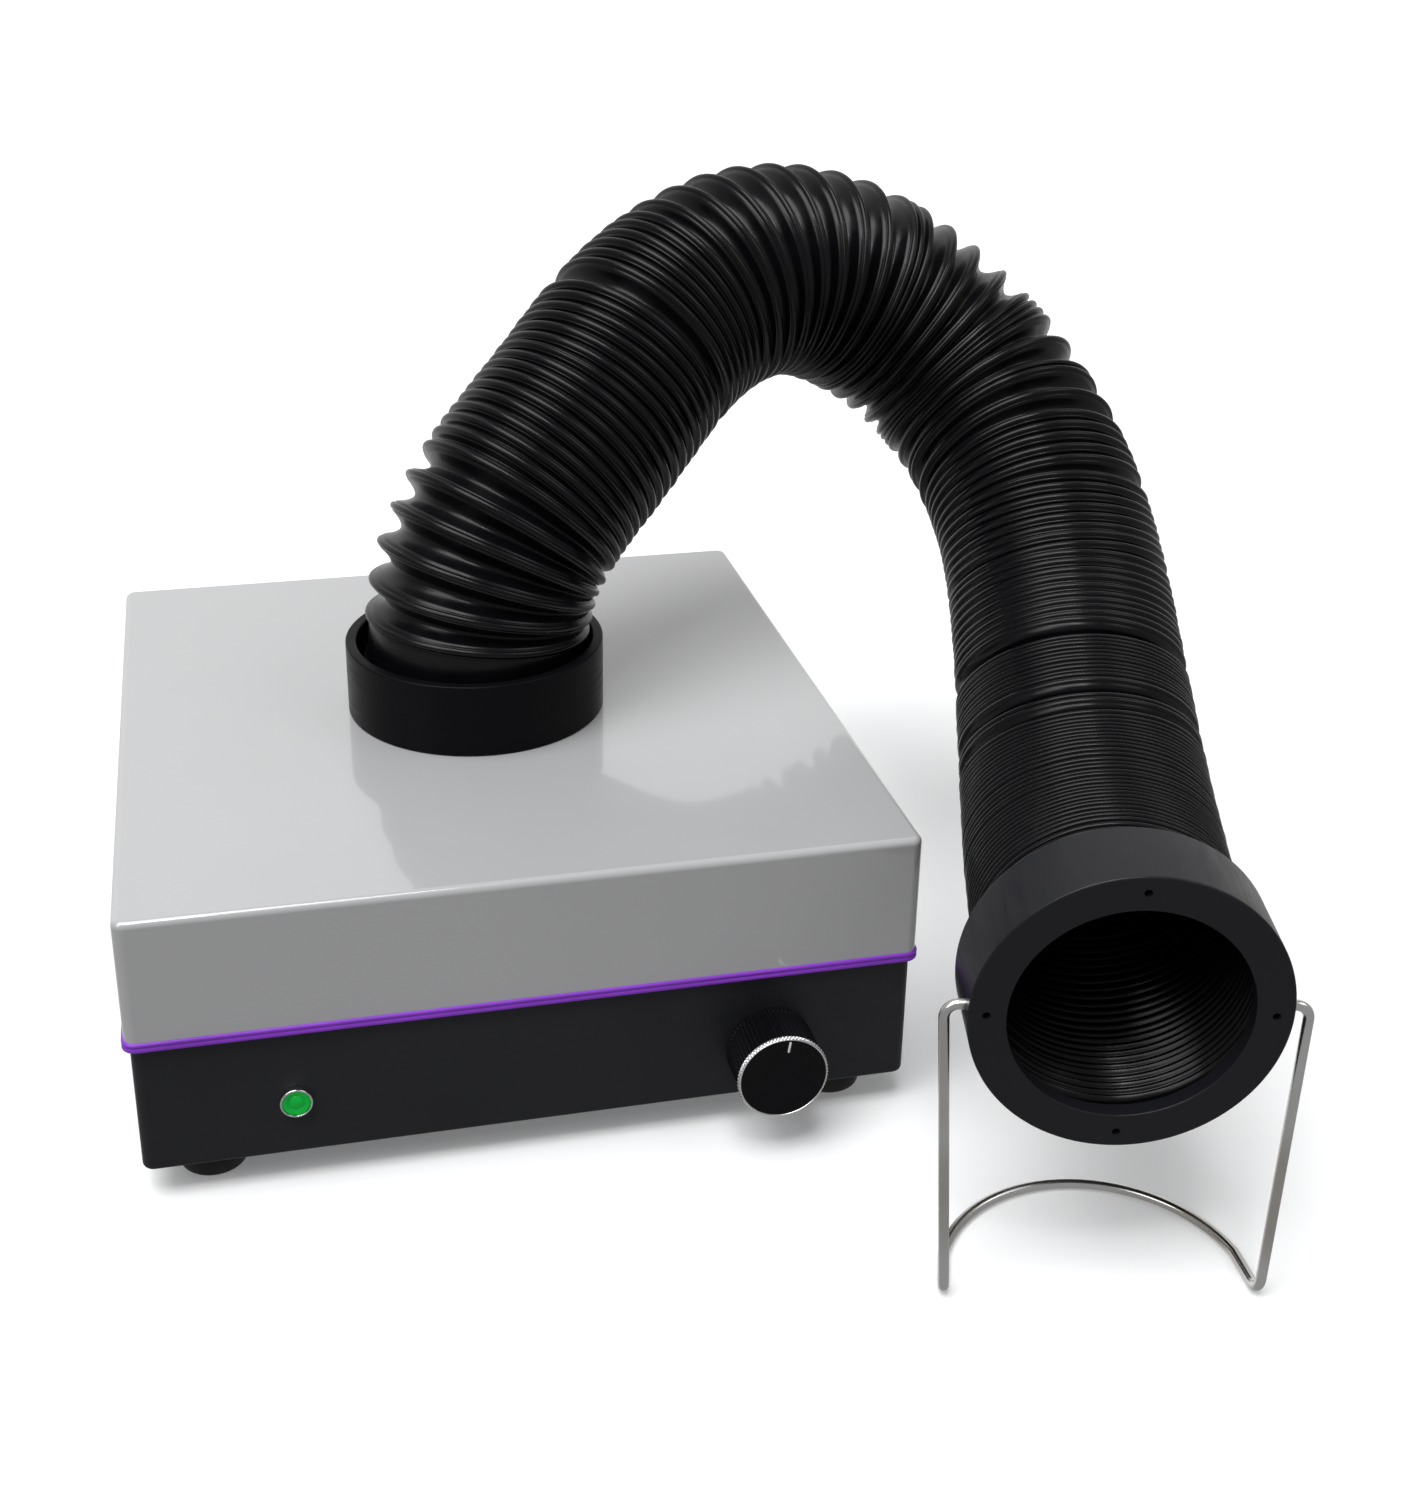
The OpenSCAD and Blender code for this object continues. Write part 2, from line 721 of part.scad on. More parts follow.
// Fine filter block, its media pleated along the top
module hepa_filter() {
    media_w = filter_w - 2 * frame_t - 0.6;
    pleats = 26;
    pleat_depth = 8;
    pitch = media_w / pleats;
    ridges = [for (i = [pleats:-1:0]) each [
        [-media_w / 2 + i * pitch, hepa_h],
        if (i > 0) [-media_w / 2 + (i - 0.5) * pitch, hepa_h - pleat_depth]
    ]];
    color("#f0f0ea") at_housing() translate([0, 0, filter_z]) rotate([90, 0, 0])
        linear_extrude(media_w, center = true)
            polygon(concat([[-media_w / 2, 0], [media_w / 2, 0]], ridges));
}

module carbon_filter() {
    color("#26272a") at_housing() translate([0, 0, filter_z + hepa_h])
        linear_extrude(carbon_h) square(filter_w - 2 * frame_t - 0.6, center = true);
}

module prefilter() {
    color("#dfe3e6") at_housing() translate([0, 0, filter_z + hepa_h + carbon_h])
        linear_extrude(prefilter_h) square(filter_w - 2 * frame_t - 0.6, center = true);
}

module prefilter_grid() {
    w = filter_w - 2 * frame_t - 0.6;
    openings = 5;
    pitch = (w - 6) / openings;
    color("#2c2e31") at_housing()
        translate([0, 0, filter_z + hepa_h + carbon_h + prefilter_h]) difference() {
            linear_extrude(1.2) square(w, center = true);
            for (i = [0:openings - 1], j = [0:openings - 1])
                translate([(i - 2) * pitch, (j - 2) * pitch, 0])
                    cube([pitch - 5, pitch - 5, 10], center = true);
        }
}

// ---------- Cover ----------

module top_cover() {
    color("#c6c7c9") at_housing() difference() {
        translate([0, 0, cover_base - 2.2])
            soft_block(housing_w, housing_d, cover_h + 2.2, edge_r);
        translate([0, 0, cover_base - 2.2 - eps])
            soft_block(housing_w - 2 * sheet_t, housing_d - 2 * sheet_t,
                cover_h + 2.2 + eps - sheet_t, edge_r - sheet_t);
        translate([0, 0, cover_top - 5]) cylinder(r = face_bore_r, h = 10);
        for (a = [0:90:270])
            rotate([0, 0, a]) translate([hole_circle_r, 0, cover_top - 5])
                cylinder(r = 1.5, h = 10, $fn = 24);
    }
}

// Rubber channel pressed onto the cover's lower edge
module seal_trim() {
    bulge = 1.2;
    inner = 2.3;
    color("#7b35b8") at_housing() translate([0, 0, tray_top]) difference() {
        linear_extrude(trim_h)
            rounded_plate(housing_w + 2 * bulge, housing_d + 2 * bulge, edge_r + bulge);
        translate([0, 0, -eps]) linear_extrude(trim_h + 2 * eps)
            rounded_plate(housing_w - 2 * inner, housing_d - 2 * inner, edge_r - inner);
        translate([0, 0, trim_h - 2.2])
            frame_wall(housing_w, housing_d, edge_r, sheet_t, 2.2 + eps);
    }
}

module hose_collar() {
    color("#1f2023") at_housing() translate([0, 0, cover_top]) hose_ring();
}

module collar_screws() {
    for (a = [0:90:270])
        color("#b8bcc0") at_housing() rotate([0, 0, a])
            translate([hole_circle_r, 0, cover_top - sheet_t]) rotate([180, 0, 0])
                pan_screw(hole_r, face_t - 1, 2.4, 1.6);
}

// ---------- Hose ----------

module hose_riser() { at_housing() hose_stretch(riser_span); }
module hose_crown() { at_housing() hose_stretch(crown_span); }
module hose_shoulder() { at_housing() hose_stretch(shoulder_span); }
module hose_fall() { at_housing() hose_stretch(fall_span); }
module hose_elbow() { at_housing() hose_stretch(elbow_span); }
module hose_front() { at_housing() hose_stretch(front_span); }
module hose_neck() { at_housing() hose_stretch(neck_span); }

// ---------- Nozzle and bail ----------

module nozzle_ring() {
    color("#1f2023") at_nozzle() difference() {
        rotate([-90, 0, 0]) hose_ring();
        for (x = [-1, 1])
            translate([x * (pin_end_x - 0.3), pivot_back, 0]) rotate([0, 90 * x, 0])
                cylinder(r = wire_r + pivot_gap, h = 10, $fn = 32);
    }
}

// Bent wire: two pins, two legs and a half-round foot that lies flat on the bench
module bail_stand() {
    pivot_drop = pivot_back * sin(nozzle_dip);
    drop = nozzle_face.z + pivot_drop - wire_r;
    pivot_level = nozzle_face + [
        -pivot_back * cos(nozzle_dip) * sin(nozzle_turn),
        pivot_back * cos(nozzle_dip) * cos(nozzle_turn),
        pivot_drop
    ];
    straight = 4;
    color("#b9bbbd") at_housing() translate(pivot_level) rotate([0, 0, nozzle_turn]) {
        for (x = [-1, 1]) {
            rod([x * pin_end_x, 0, 0], [x * leg_top_x, 0, 0], wire_r);
            translate([x * leg_top_x, 0, 0]) sphere(wire_r, $fn = 32);
            rod([x * leg_top_x, 0, 0], [x * leg_foot_x, -leg_lean, -drop], wire_r);
            translate([x * leg_foot_x, -leg_lean, -drop]) sphere(wire_r, $fn = 32);
            rod([x * leg_foot_x, -leg_lean, -drop],
                [x * leg_foot_x, -leg_lean + straight, -drop], wire_r);
        }
        translate([0, -leg_lean + straight, -drop])
            rotate_extrude(angle = 180) translate([leg_foot_x, 0]) circle(wire_r, $fn = 32);
    }
}

tray();
foot_front_left();
foot_front_right();
foot_rear_left();
foot_rear_right();
foot_screws();
cover_locator();
deck_pillars();
deck_plate();
deck_screws();
fan_housing();
fan_cover();
fan_screws();
fan_motor();
fan_impeller();
fan_shaft();
exhaust_grille();
grille_screws();
power_inlet();
inlet_pins();
inlet_screws();
power_board();
board_components();
board_standoffs();
speed_pot();
pot_nut();
pot_shaft();
lamp_body();
lamp_bezel();
lamp_lens();
lamp_nut();
lamp_lead();
pot_lead();
fan_lead();
mains_lead();
filter_frame();
hepa_filter();
carbon_filter();
prefilter();
prefilter_grid();
top_cover();
seal_trim();
hose_collar();
collar_screws();
speed_knob();
knob_ring();
knob_pointer();
knob_set_screw();
hose_riser();
hose_crown();
hose_shoulder();
hose_fall();
hose_elbow();
hose_front();
hose_neck();
nozzle_ring();
bail_stand();
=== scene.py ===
import json
import math
import random

import bmesh
import bpy
from mathutils import Matrix, Vector


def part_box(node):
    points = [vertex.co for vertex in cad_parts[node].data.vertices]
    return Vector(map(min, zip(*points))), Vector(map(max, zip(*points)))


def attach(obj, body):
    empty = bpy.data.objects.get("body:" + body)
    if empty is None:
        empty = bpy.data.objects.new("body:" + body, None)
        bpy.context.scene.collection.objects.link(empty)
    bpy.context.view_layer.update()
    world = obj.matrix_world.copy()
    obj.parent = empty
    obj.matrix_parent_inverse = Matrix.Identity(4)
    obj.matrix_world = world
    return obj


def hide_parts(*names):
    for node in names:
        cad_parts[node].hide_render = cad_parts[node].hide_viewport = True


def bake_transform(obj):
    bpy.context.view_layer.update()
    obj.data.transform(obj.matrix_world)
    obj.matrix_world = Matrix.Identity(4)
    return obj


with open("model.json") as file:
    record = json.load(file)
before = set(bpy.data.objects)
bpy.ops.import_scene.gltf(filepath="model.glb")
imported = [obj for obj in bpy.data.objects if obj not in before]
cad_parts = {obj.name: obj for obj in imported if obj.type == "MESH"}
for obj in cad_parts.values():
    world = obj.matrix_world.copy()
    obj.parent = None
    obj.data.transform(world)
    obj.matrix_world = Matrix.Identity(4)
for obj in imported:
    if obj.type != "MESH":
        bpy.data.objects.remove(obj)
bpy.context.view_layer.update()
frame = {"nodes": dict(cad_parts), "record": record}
NODES = frame["nodes"]
MM = 0.001

# ---------- The design's own dimensions, in millimetres ----------

SHEET = 1.2
EDGE_R = 4.0
FOLD_R = 2.4
RING_R = 47.4
RING_H = 27.0
FACE_BORE_R = 36.0
FACE_T = 5.5
SOCKET_R = 43.4
HOLE_CIRCLE_R = 42.0
HOLE_R = 1.25
COLLAR_SCREW_R = 1.5
POT_HOLE_R = 3.6
LAMP_HOLE_R = 4.1
FOOT_HOLE_R = 2.05
GRILLE_RIM = 6.0
GRILLE_LIP = 4.0
INLET_FLANGE = 10.8
INLET_LIP = 1.8
THROUGH = 10.0
HOSE_R = 41.8
HOSE_WALL = 0.9
KNOB_R = 15.6
KNOB_REACH = 20.0
KNOB_GAP = 0.6
KNOB_RING_W = 1.0
KNOB_RING_T = 1.8
POINTER_TURN = -8
LAMP_R = 5.3
FOOT_H = 11.5
FOOT_R = 12.0
WIRE_R = 1.65
PIN_END_X = 44.6
LEG_TOP_X = 53.5
LEG_FOOT_X = 48.3
LEG_LEAN = 8.8
NOZZLE_TURN = -12.4
NOZZLE_DIP = 2.6
PIVOT_BACK = 5.7
NOZZLE_FACE = Vector((156.3, -239.5, 100.4))

cover_low, cover_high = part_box("top_cover")
tray_low, tray_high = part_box("tray")
HOUSING = Vector(((cover_low.x + cover_high.x) / 2, (cover_low.y + cover_high.y) / 2, 0))
COVER_TOP = cover_high.z / MM

# The hose's route in housing coordinates: control points of a uniform cubic B-spline
ROUTE = [Vector(p) for p in (
    (0, 0, 56), (0, 0, 110), (1, 0, 165), (47, 26, 202), (77, 54, 232),
    (127, 78, 252), (181, 88, 231), (221, 69, 194), (229, 20, 163), (220, -28, 139),
    (205, -78, 122), (188, -129, 113), (171, -182, 105), (157, -234, 101), (147, -288, 98))]
ROUTE_END = 11.95
LEAN = Vector((1, 1.2, -1))


def at_housing(point):
    """A point given in millimetres from the housing's middle, in the row frame in metres."""
    return Vector(point) * MM + HOUSING


# ---------- Mesh helpers ----------

def new_mesh(name, verts, faces, smooth=True):
    """A mesh object made from points and faces, linked into the scene."""
    mesh = bpy.data.meshes.new(name)
    mesh.from_pydata([tuple(v) for v in verts], [], faces)
    mesh.validate()
    obj = bpy.data.objects.new(name, mesh)
    bpy.context.scene.collection.objects.link(obj)
    if smooth:
        mesh.shade_smooth()
    return obj


def apply_modifiers(obj):
    """Bakes obj's modifiers into its mesh."""
    graph = bpy.context.evaluated_depsgraph_get()
    graph.update()
    mesh = bpy.data.meshes.new_from_object(obj.evaluated_get(graph))
    obj.modifiers.clear()
    obj.data = mesh
    return obj


def sharpen(obj, angle=35):
    """Smooth shading with creases at edges sharper than angle."""
    obj.data.shade_smooth()
    obj.data.set_sharp_from_angle(angle=math.radians(angle))
    return obj


def place(obj, matrix):
    """Moves obj's mesh and leaves its origin where it is."""
    obj.data.transform(matrix)
    obj.data.update()
    return obj


def grid_faces(rows, columns, closed_columns=True, closed_rows=False):
    """Quads over a grid of points stored row by row."""
    faces = []
    for j in range(rows if closed_rows else rows - 1):
        for k in range(columns if closed_columns else columns - 1):
            a, b = j * columns, ((j + 1) % rows) * columns
            n = (k + 1) % columns
            faces.append((a + k, a + n, b + n, b + k))
    return faces


def lathe(name, profile, steps=96, closed=True):
    """A solid turned about Z from (radius, height) points in millimetres."""
    verts = []
    for r, z in profile:
        for k in range(steps):
            a = 2 * math.pi * k / steps
            verts.append(Vector((r * math.cos(a), r * math.sin(a), z)) * MM)
    faces = grid_faces(len(profile), steps, closed_rows=closed)
    obj = new_mesh(name, verts, faces)
    bm = bmesh.new()
    bm.from_mesh(obj.data)
    bmesh.ops.remove_doubles(bm, verts=bm.verts, dist=1e-6)
    bmesh.ops.recalc_face_normals(bm, faces=bm.faces)
    bm.to_mesh(obj.data)
    bm.free()
    return sharpen(obj)


def arc(cx, cz, r, start, end, steps=5):
    """Points on an arc, angles in degrees, for a profile."""
    points = []
    for i in range(steps + 1):
        a = math.radians(start + (end - start) * i / steps)
        points.append((cx + r * math.cos(a), cz + r * math.sin(a)))
    return points


def rounded_rectangle(w, d, r, steps=8):
    """Corner points of a rounded rectangle, anticlockwise from +X."""
    points = []
    for cx, cy, start in ((1, 1, 0), (-1, 1, 90), (-1, -1, 180), (1, -1, 270)):
        points += [(x, y) for x, y in arc(cx * (w / 2 - r), cy * (d / 2 - r), r, start,
                                          start + 90, steps)]
    return points


def recalc(obj):
    """Merges coincident points and turns every face outward."""
    bm = bmesh.new()
    bm.from_mesh(obj.data)
    bmesh.ops.remove_doubles(bm, verts=bm.verts, dist=1e-7)
    bmesh.ops.recalc_face_normals(bm, faces=bm.faces)
    bm.to_mesh(obj.data)
    bm.free()
    return obj


def cut(obj, *cutters):
    """Takes the cutters' shapes out of obj and removes the cutters."""
    for cutter in cutters:
        m = obj.modifiers.new("cut", "BOOLEAN")
        m.operation = "DIFFERENCE"
        m.solver = "EXACT"
        m.object = cutter
    apply_modifiers(obj)
    for cutter in cutters:
        bpy.data.objects.remove(cutter)
    return obj


def from_bmesh(name, bm):
    """An object that takes over bm's mesh."""
    mesh = bpy.data.meshes.new(name)
    bm.to_mesh(mesh)
    bm.free()
    obj = bpy.data.objects.new(name, mesh)
    bpy.context.scene.collection.objects.link(obj)
    return obj


def rod_cutter(centre, axis, radius, length, steps=48):
    """A cylinder in metres for cutting holes."""
    bm = bmesh.new()
    turn = Vector((0, 0, 1)).rotation_difference(Vector(axis)).to_matrix().to_4x4()
    bmesh.ops.create_cone(bm, cap_ends=True, segments=steps, radius1=radius, radius2=radius,
                          depth=length, matrix=Matrix.Translation(centre) @ turn)
    return from_bmesh("cutter", bm)


def block_cutter(low, high):
    """A box in metres for cutting openings."""
    bm = bmesh.new()
    size = Vector(high) - Vector(low)
    middle = (Vector(high) + Vector(low)) / 2
    scale = Matrix.Diagonal((*size, 1))
    bmesh.ops.create_cube(bm, size=1, matrix=Matrix.Translation(middle) @ scale)
    return from_bmesh("cutter", bm)


def piece(obj, material, body=None, replaces=()):
    """Gives obj its finish, its body and the CAD nodes that it stands for."""
    obj.data.materials.clear()
    obj.data.materials.append(material)
    if body:
        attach(obj, body)
    if replaces:
        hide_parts(*replaces)
    return obj


# ---------- Materials ----------

class Shader:
    """A node tree round one Principled shader, with short calls for its textures."""

    def __init__(self, name, colour, roughness, metallic=0.0, **sockets):
        self.material = bpy.data.materials.new(name)
        self.material.use_nodes = True
        self.tree = self.material.node_tree
        self.bsdf = self.tree.nodes["Principled BSDF"]
        self.bsdf.inputs["Base Color"].default_value = (*colour, 1)
        self.bsdf.inputs["Roughness"].default_value = roughness
        self.bsdf.inputs["Metallic"].default_value = metallic
        for socket, value in sockets.items():
            self.bsdf.inputs[socket.replace("_", " ")].default_value = value
        self.place = self.add("ShaderNodeTexCoord").outputs["Object"]

    def add(self, kind, **values):
        """A new node with its settings."""
        node = self.tree.nodes.new(kind)
        for key, value in values.items():
            setattr(node, key, value)
        return node

    def link(self, out, socket):
        self.tree.links.new(out, socket)

    def scaled(self, scale, rotation=(0, 0, 0), source=None):
        """Texture coordinates stretched by scale."""
        node = self.add("ShaderNodeMapping")
        node.inputs["Scale"].default_value = scale
        node.inputs["Rotation"].default_value = rotation
        self.link(source or self.place, node.inputs["Vector"])
        return node.outputs["Vector"]

    def noise(self, scale, detail=4.0, roughness=0.55, distortion=0.0, source=None):
        node = self.add("ShaderNodeTexNoise")
        node.inputs["Scale"].default_value = scale
        node.inputs["Detail"].default_value = detail
        node.inputs["Roughness"].default_value = roughness
        node.inputs["Distortion"].default_value = distortion
        self.link(source or self.place, node.inputs["Vector"])
        return node.outputs["Fac"]

    def cells(self, scale, feature="F1", source=None):
        node = self.add("ShaderNodeTexVoronoi", feature=feature)
        node.inputs["Scale"].default_value = scale
        self.link(source or self.place, node.inputs["Vector"])
        return node.outputs["Distance"]

    def spread(self, value, from_low, from_high, to_low, to_high):
        """value mapped from one range to another, clamped."""
        node = self.add("ShaderNodeMapRange", clamp=True)
        self.link(value, node.inputs["Value"])
        for socket, number in zip(("From Min", "From Max", "To Min", "To Max"),
                                  (from_low, from_high, to_low, to_high)):
            node.inputs[socket].default_value = number
        return node.outputs["Result"]

    def colours(self, value, *stops):
        """value turned into colour by (position, colour) stops."""
        node = self.add("ShaderNodeValToRGB")
        ramp = node.color_ramp
        while len(ramp.elements) < len(stops):
            ramp.elements.new(0.5)
        for element, (position, colour) in zip(ramp.elements, stops):
            element.position = position
            element.color = (*colour, 1)
        self.link(value, node.inputs["Fac"])
        return node.outputs["Color"]

    def paint(self, colour):
        self.link(colour, self.bsdf.inputs["Base Color"])
        return self

    def gloss(self, value):
        self.link(value, self.bsdf.inputs["Roughness"])
        return self

    def bump(self, height, strength, distance):
        """Adds a layer of relief on top of any earlier one."""
        node = self.add("ShaderNodeBump")
        node.inputs["Strength"].default_value = strength
        node.inputs["Distance"].default_value = distance
        self.link(height, node.inputs["Height"])
        old = self.bsdf.inputs["Normal"].links
        if old:
            self.link(old[0].from_socket, node.inputs["Normal"])
        self.link(node.outputs["Normal"], self.bsdf.inputs["Normal"])
        return self


def tint(colour, factor):
    """A lighter or darker version of colour."""
    return tuple(min(1.0, c * factor) for c in colour)


def cover_paint():
    """Pale grey gloss enamel with a slight orange-peel surface."""
    base = (0.465, 0.469, 0.477)
    s = Shader("cover_paint", base, 0.22, Coat_Weight=1.0, Coat_Roughness=0.05,
               Coat_IOR=1.65, Specular_IOR_Level=0.5)
    s.paint(s.colours(s.noise(9, 3), (0.3, tint(base, 0.985)), (0.7, tint(base, 1.015))))
    s.gloss(s.spread(s.noise(55, 4), 0.3, 0.7, 0.17, 0.25))
    s.bump(s.noise(420, 2, 0.5), 0.06, 0.0002)
    s.bump(s.noise(26, 2, 0.4), 0.05, 0.0006)
    return s.material


def tray_paint():
    """Near-black powder coat with a fine texture."""
    base = (0.0135, 0.0142, 0.0175)
    s = Shader("tray_paint", base, 0.4, Specular_IOR_Level=0.34)
    s.paint(s.colours(s.noise(14, 5), (0.3, tint(base, 0.85)), (0.7, tint(base, 1.2))))
    s.gloss(s.spread(s.noise(90, 4), 0.3, 0.7, 0.36, 0.5))
    s.bump(s.cells(1500), 0.22, 0.00012)
    s.bump(s.noise(700, 3), 0.15, 0.0001)
    return s.material


def rubber(name, base, roughness, grain=2400):
    """Soft matt rubber."""
    s = Shader(name, base, roughness, Specular_IOR_Level=0.4)
    s.paint(s.colours(s.noise(30, 5), (0.3, tint(base, 0.85)), (0.7, tint(base, 1.15))))
    s.gloss(s.spread(s.noise(160, 4), 0.3, 0.7, roughness - 0.07, roughness + 0.07))
    s.bump(s.noise(grain, 3, 0.6), 0.18, 0.00008)
    return s.material


def moulded(name, base, roughness, grain=1800, strength=0.15):
    """Moulded plastic with a fine grain."""
    s = Shader(name, base, roughness, Specular_IOR_Level=0.45)
    s.paint(s.colours(s.noise(22, 6, 0.6), (0.3, tint(base, 0.84)), (0.7, tint(base, 1.18))))
    s.gloss(s.spread(s.noise(70, 5, 0.6), 0.3, 0.7, roughness - 0.06, roughness + 0.08))
    s.bump(s.noise(grain, 3, 0.6), strength, 0.0001)
    return s.material


def ring_plastic(name, base, specular):
    """Satin moulded plastic with faint drag marks and small scuffs."""
    s = Shader(name, base, 0.33, Specular_IOR_Level=specular)
    streaks = s.noise(1, 4, 0.6, source=s.scaled((55, 55, 420)))
    scuffs = s.noise(1, 6, 0.75, source=s.scaled((120, 120, 900)))
    s.paint(s.colours(scuffs, (0.7, base), (0.76, (0.03, 0.03, 0.033))))
    s.gloss(s.spread(streaks, 0.3, 0.7, 0.27, 0.4))
    s.bump(s.noise(1700, 3, 0.6), 0.14, 0.0001)
    s.bump(streaks, 0.05, 0.0001)
    return s.material


def hose_plastic():
    """Thin glossy extruded plastic, slightly uneven from rib to rib."""
    base = (0.0028, 0.0028, 0.0038)
    s = Shader("hose_plastic", base, 0.24, Specular_IOR_Level=0.24)
    s.paint(s.colours(s.noise(60, 5, 0.6), (0.3, tint(base, 0.8)), (0.7, tint(base, 1.35))))
    s.gloss(s.spread(s.noise(130, 5, 0.65), 0.3, 0.7, 0.19, 0.31))
    s.bump(s.noise(120, 2, 0.4), 0.05, 0.0003)
    return s.material


def brushed(name, base, roughness, scale, darker=0.8, lighter=1.12, strength=0.12,
            metallic=1.0):
    """Metal with fine drawn or brushed lines; scale stretches the lines."""
    s = Shader(name, base, roughness, metallic)
    lines = s.noise(1, 5, 0.65, source=s.scaled(scale))
    s.paint(s.colours(lines, (0.3, tint(base, darker)), (0.7, tint(base, lighter))))
    s.gloss(s.spread(lines, 0.25, 0.75, roughness - 0.08, roughness + 0.1))
    s.bump(lines, strength, 0.00005)
    return s.material


def drawn_wire():
    """Bright drawn wire, a little dulled and warmed where it was bent."""
    base = (0.82, 0.82, 0.81)
    s = Shader("stainless_wire", base, 0.22, 1.0)
    s.paint(s.colours(s.noise(28, 2, 0.4), (0.35, (0.64, 0.61, 0.57)), (0.6, base)))
    s.gloss(s.spread(s.noise(60, 2, 0.4), 0.3, 0.7, 0.17, 0.3))
    s.bump(s.noise(90, 1, 0.3), 0.04, 0.0002)
    return s.material


def galvanised():
    """Zinc-coated sheet with a faint spangle."""
    base = (0.5, 0.52, 0.54)
    s = Shader("galvanised_sheet", base, 0.4, 1.0)
    spangle = s.cells(160)
    s.paint(s.colours(spangle, (0.1, tint(base, 0.82)), (0.9, tint(base, 1.15))))
    s.gloss(s.spread(spangle, 0, 1, 0.32, 0.52))
    s.bump(s.noise(600, 3), 0.08, 0.00008)
    return s.material


def circuit_board():
    """Green solder resist over copper tracks."""
    base = (0.012, 0.11, 0.04)
    s = Shader("circuit_board", base, 0.35)
    tracks = s.cells(240, "DISTANCE_TO_EDGE")
    s.paint(s.colours(tracks, (0.05, tint(base, 1.8)), (0.12, base)))
    s.bump(tracks, 0.3, 0.0001)
    return s.material


def component_plastic():
    """The board components' cases, in several dark tones."""
    s = Shader("component_plastic", (0.03, 0.032, 0.036), 0.4)
    s.paint(s.colours(s.noise(18, 2), (0.42, (0.02, 0.022, 0.026)), (0.5, (0.045, 0.05, 0.09)),
                      (0.6, (0.03, 0.03, 0.032))))
    s.bump(s.noise(1400, 3), 0.12, 0.0001)
    return s.material


def filter_paper():
    """Glass paper: short tangled fibres in an off-white sheet."""
    base = (0.8, 0.8, 0.76)
    s = Shader("filter_paper", base, 0.85)
    fibres = s.noise(1, 6, 0.7, 1.2, source=s.scaled((900, 500, 700)))
    s.paint(s.colours(fibres, (0.3, tint(base, 0.86)), (0.7, tint(base, 1.04))))
    s.bump(fibres, 0.35, 0.0002)
    return s.material


def carbon_foam():
    """Open-cell foam loaded with carbon."""
    s = Shader("carbon_foam", (0.012, 0.012, 0.013), 0.9)
    pores = s.cells(520)
    # Painted shade: the colour is darkest in the middle of each pore, where the hollows of the
    # relief lie
    s.paint(s.colours(pores, (0.2, (0.004, 0.004, 0.004)), (0.6, (0.022, 0.022, 0.024))))
    s.bump(pores, 0.9, 0.0008)
    return s.material


def prefilter_fleece():
    """White needled fleece."""
    base = (0.72, 0.75, 0.78)
    s = Shader("prefilter_fleece", base, 0.9, Sheen_Weight=0.3)
    fibres = s.noise(1, 8, 0.8, 2.5, source=s.scaled((500, 500, 300)))
    s.paint(s.colours(fibres, (0.3, tint(base, 0.78)), (0.7, tint(base, 1.08))))
    s.bump(fibres, 0.6, 0.0005)
    return s.material


def lead_insulation(name, base):
    """Coloured insulation of an internal lead."""
    s = Shader(name, base, 0.4, Coat_Weight=0.2, Coat_Roughness=0.25)
    s.paint(s.colours(s.noise(60, 4), (0.3, tint(base, 0.85)), (0.7, tint(base, 1.12))))
    s.bump(s.noise(900, 3), 0.1, 0.0001)
    return s.material


def knob_black():
    """Black anodised aluminium with a faint turned finish."""
    base = (0.0046, 0.0046, 0.006)
    s = Shader("knob_black", base, 0.34, Specular_IOR_Level=0.12)
    lines = s.noise(1, 4, 0.6, source=s.scaled((1200, 60, 1200)))
    s.paint(s.colours(lines, (0.3, tint(base, 0.8)), (0.7, tint(base, 1.5))))
    s.gloss(s.spread(lines, 0.3, 0.7, 0.32, 0.45))
    s.bump(lines, 0.08, 0.00005)
    return s.material


def lamp_green():
    """Ribbed translucent green lens, lit a little from behind."""
    s = Shader("lamp_green", (0.001, 0.3, 0.03), 0.2, Specular_IOR_Level=0.3,
               Emission_Color=(0.0, 0.55, 0.06, 1), Emission_Strength=0.25)
    s.paint(s.colours(s.noise(300, 3), (0.3, (0.001, 0.24, 0.024)), (0.7, (0.002, 0.36, 0.04))))
    s.bump(s.noise(600, 2), 0.06, 0.0001)
    return s.material


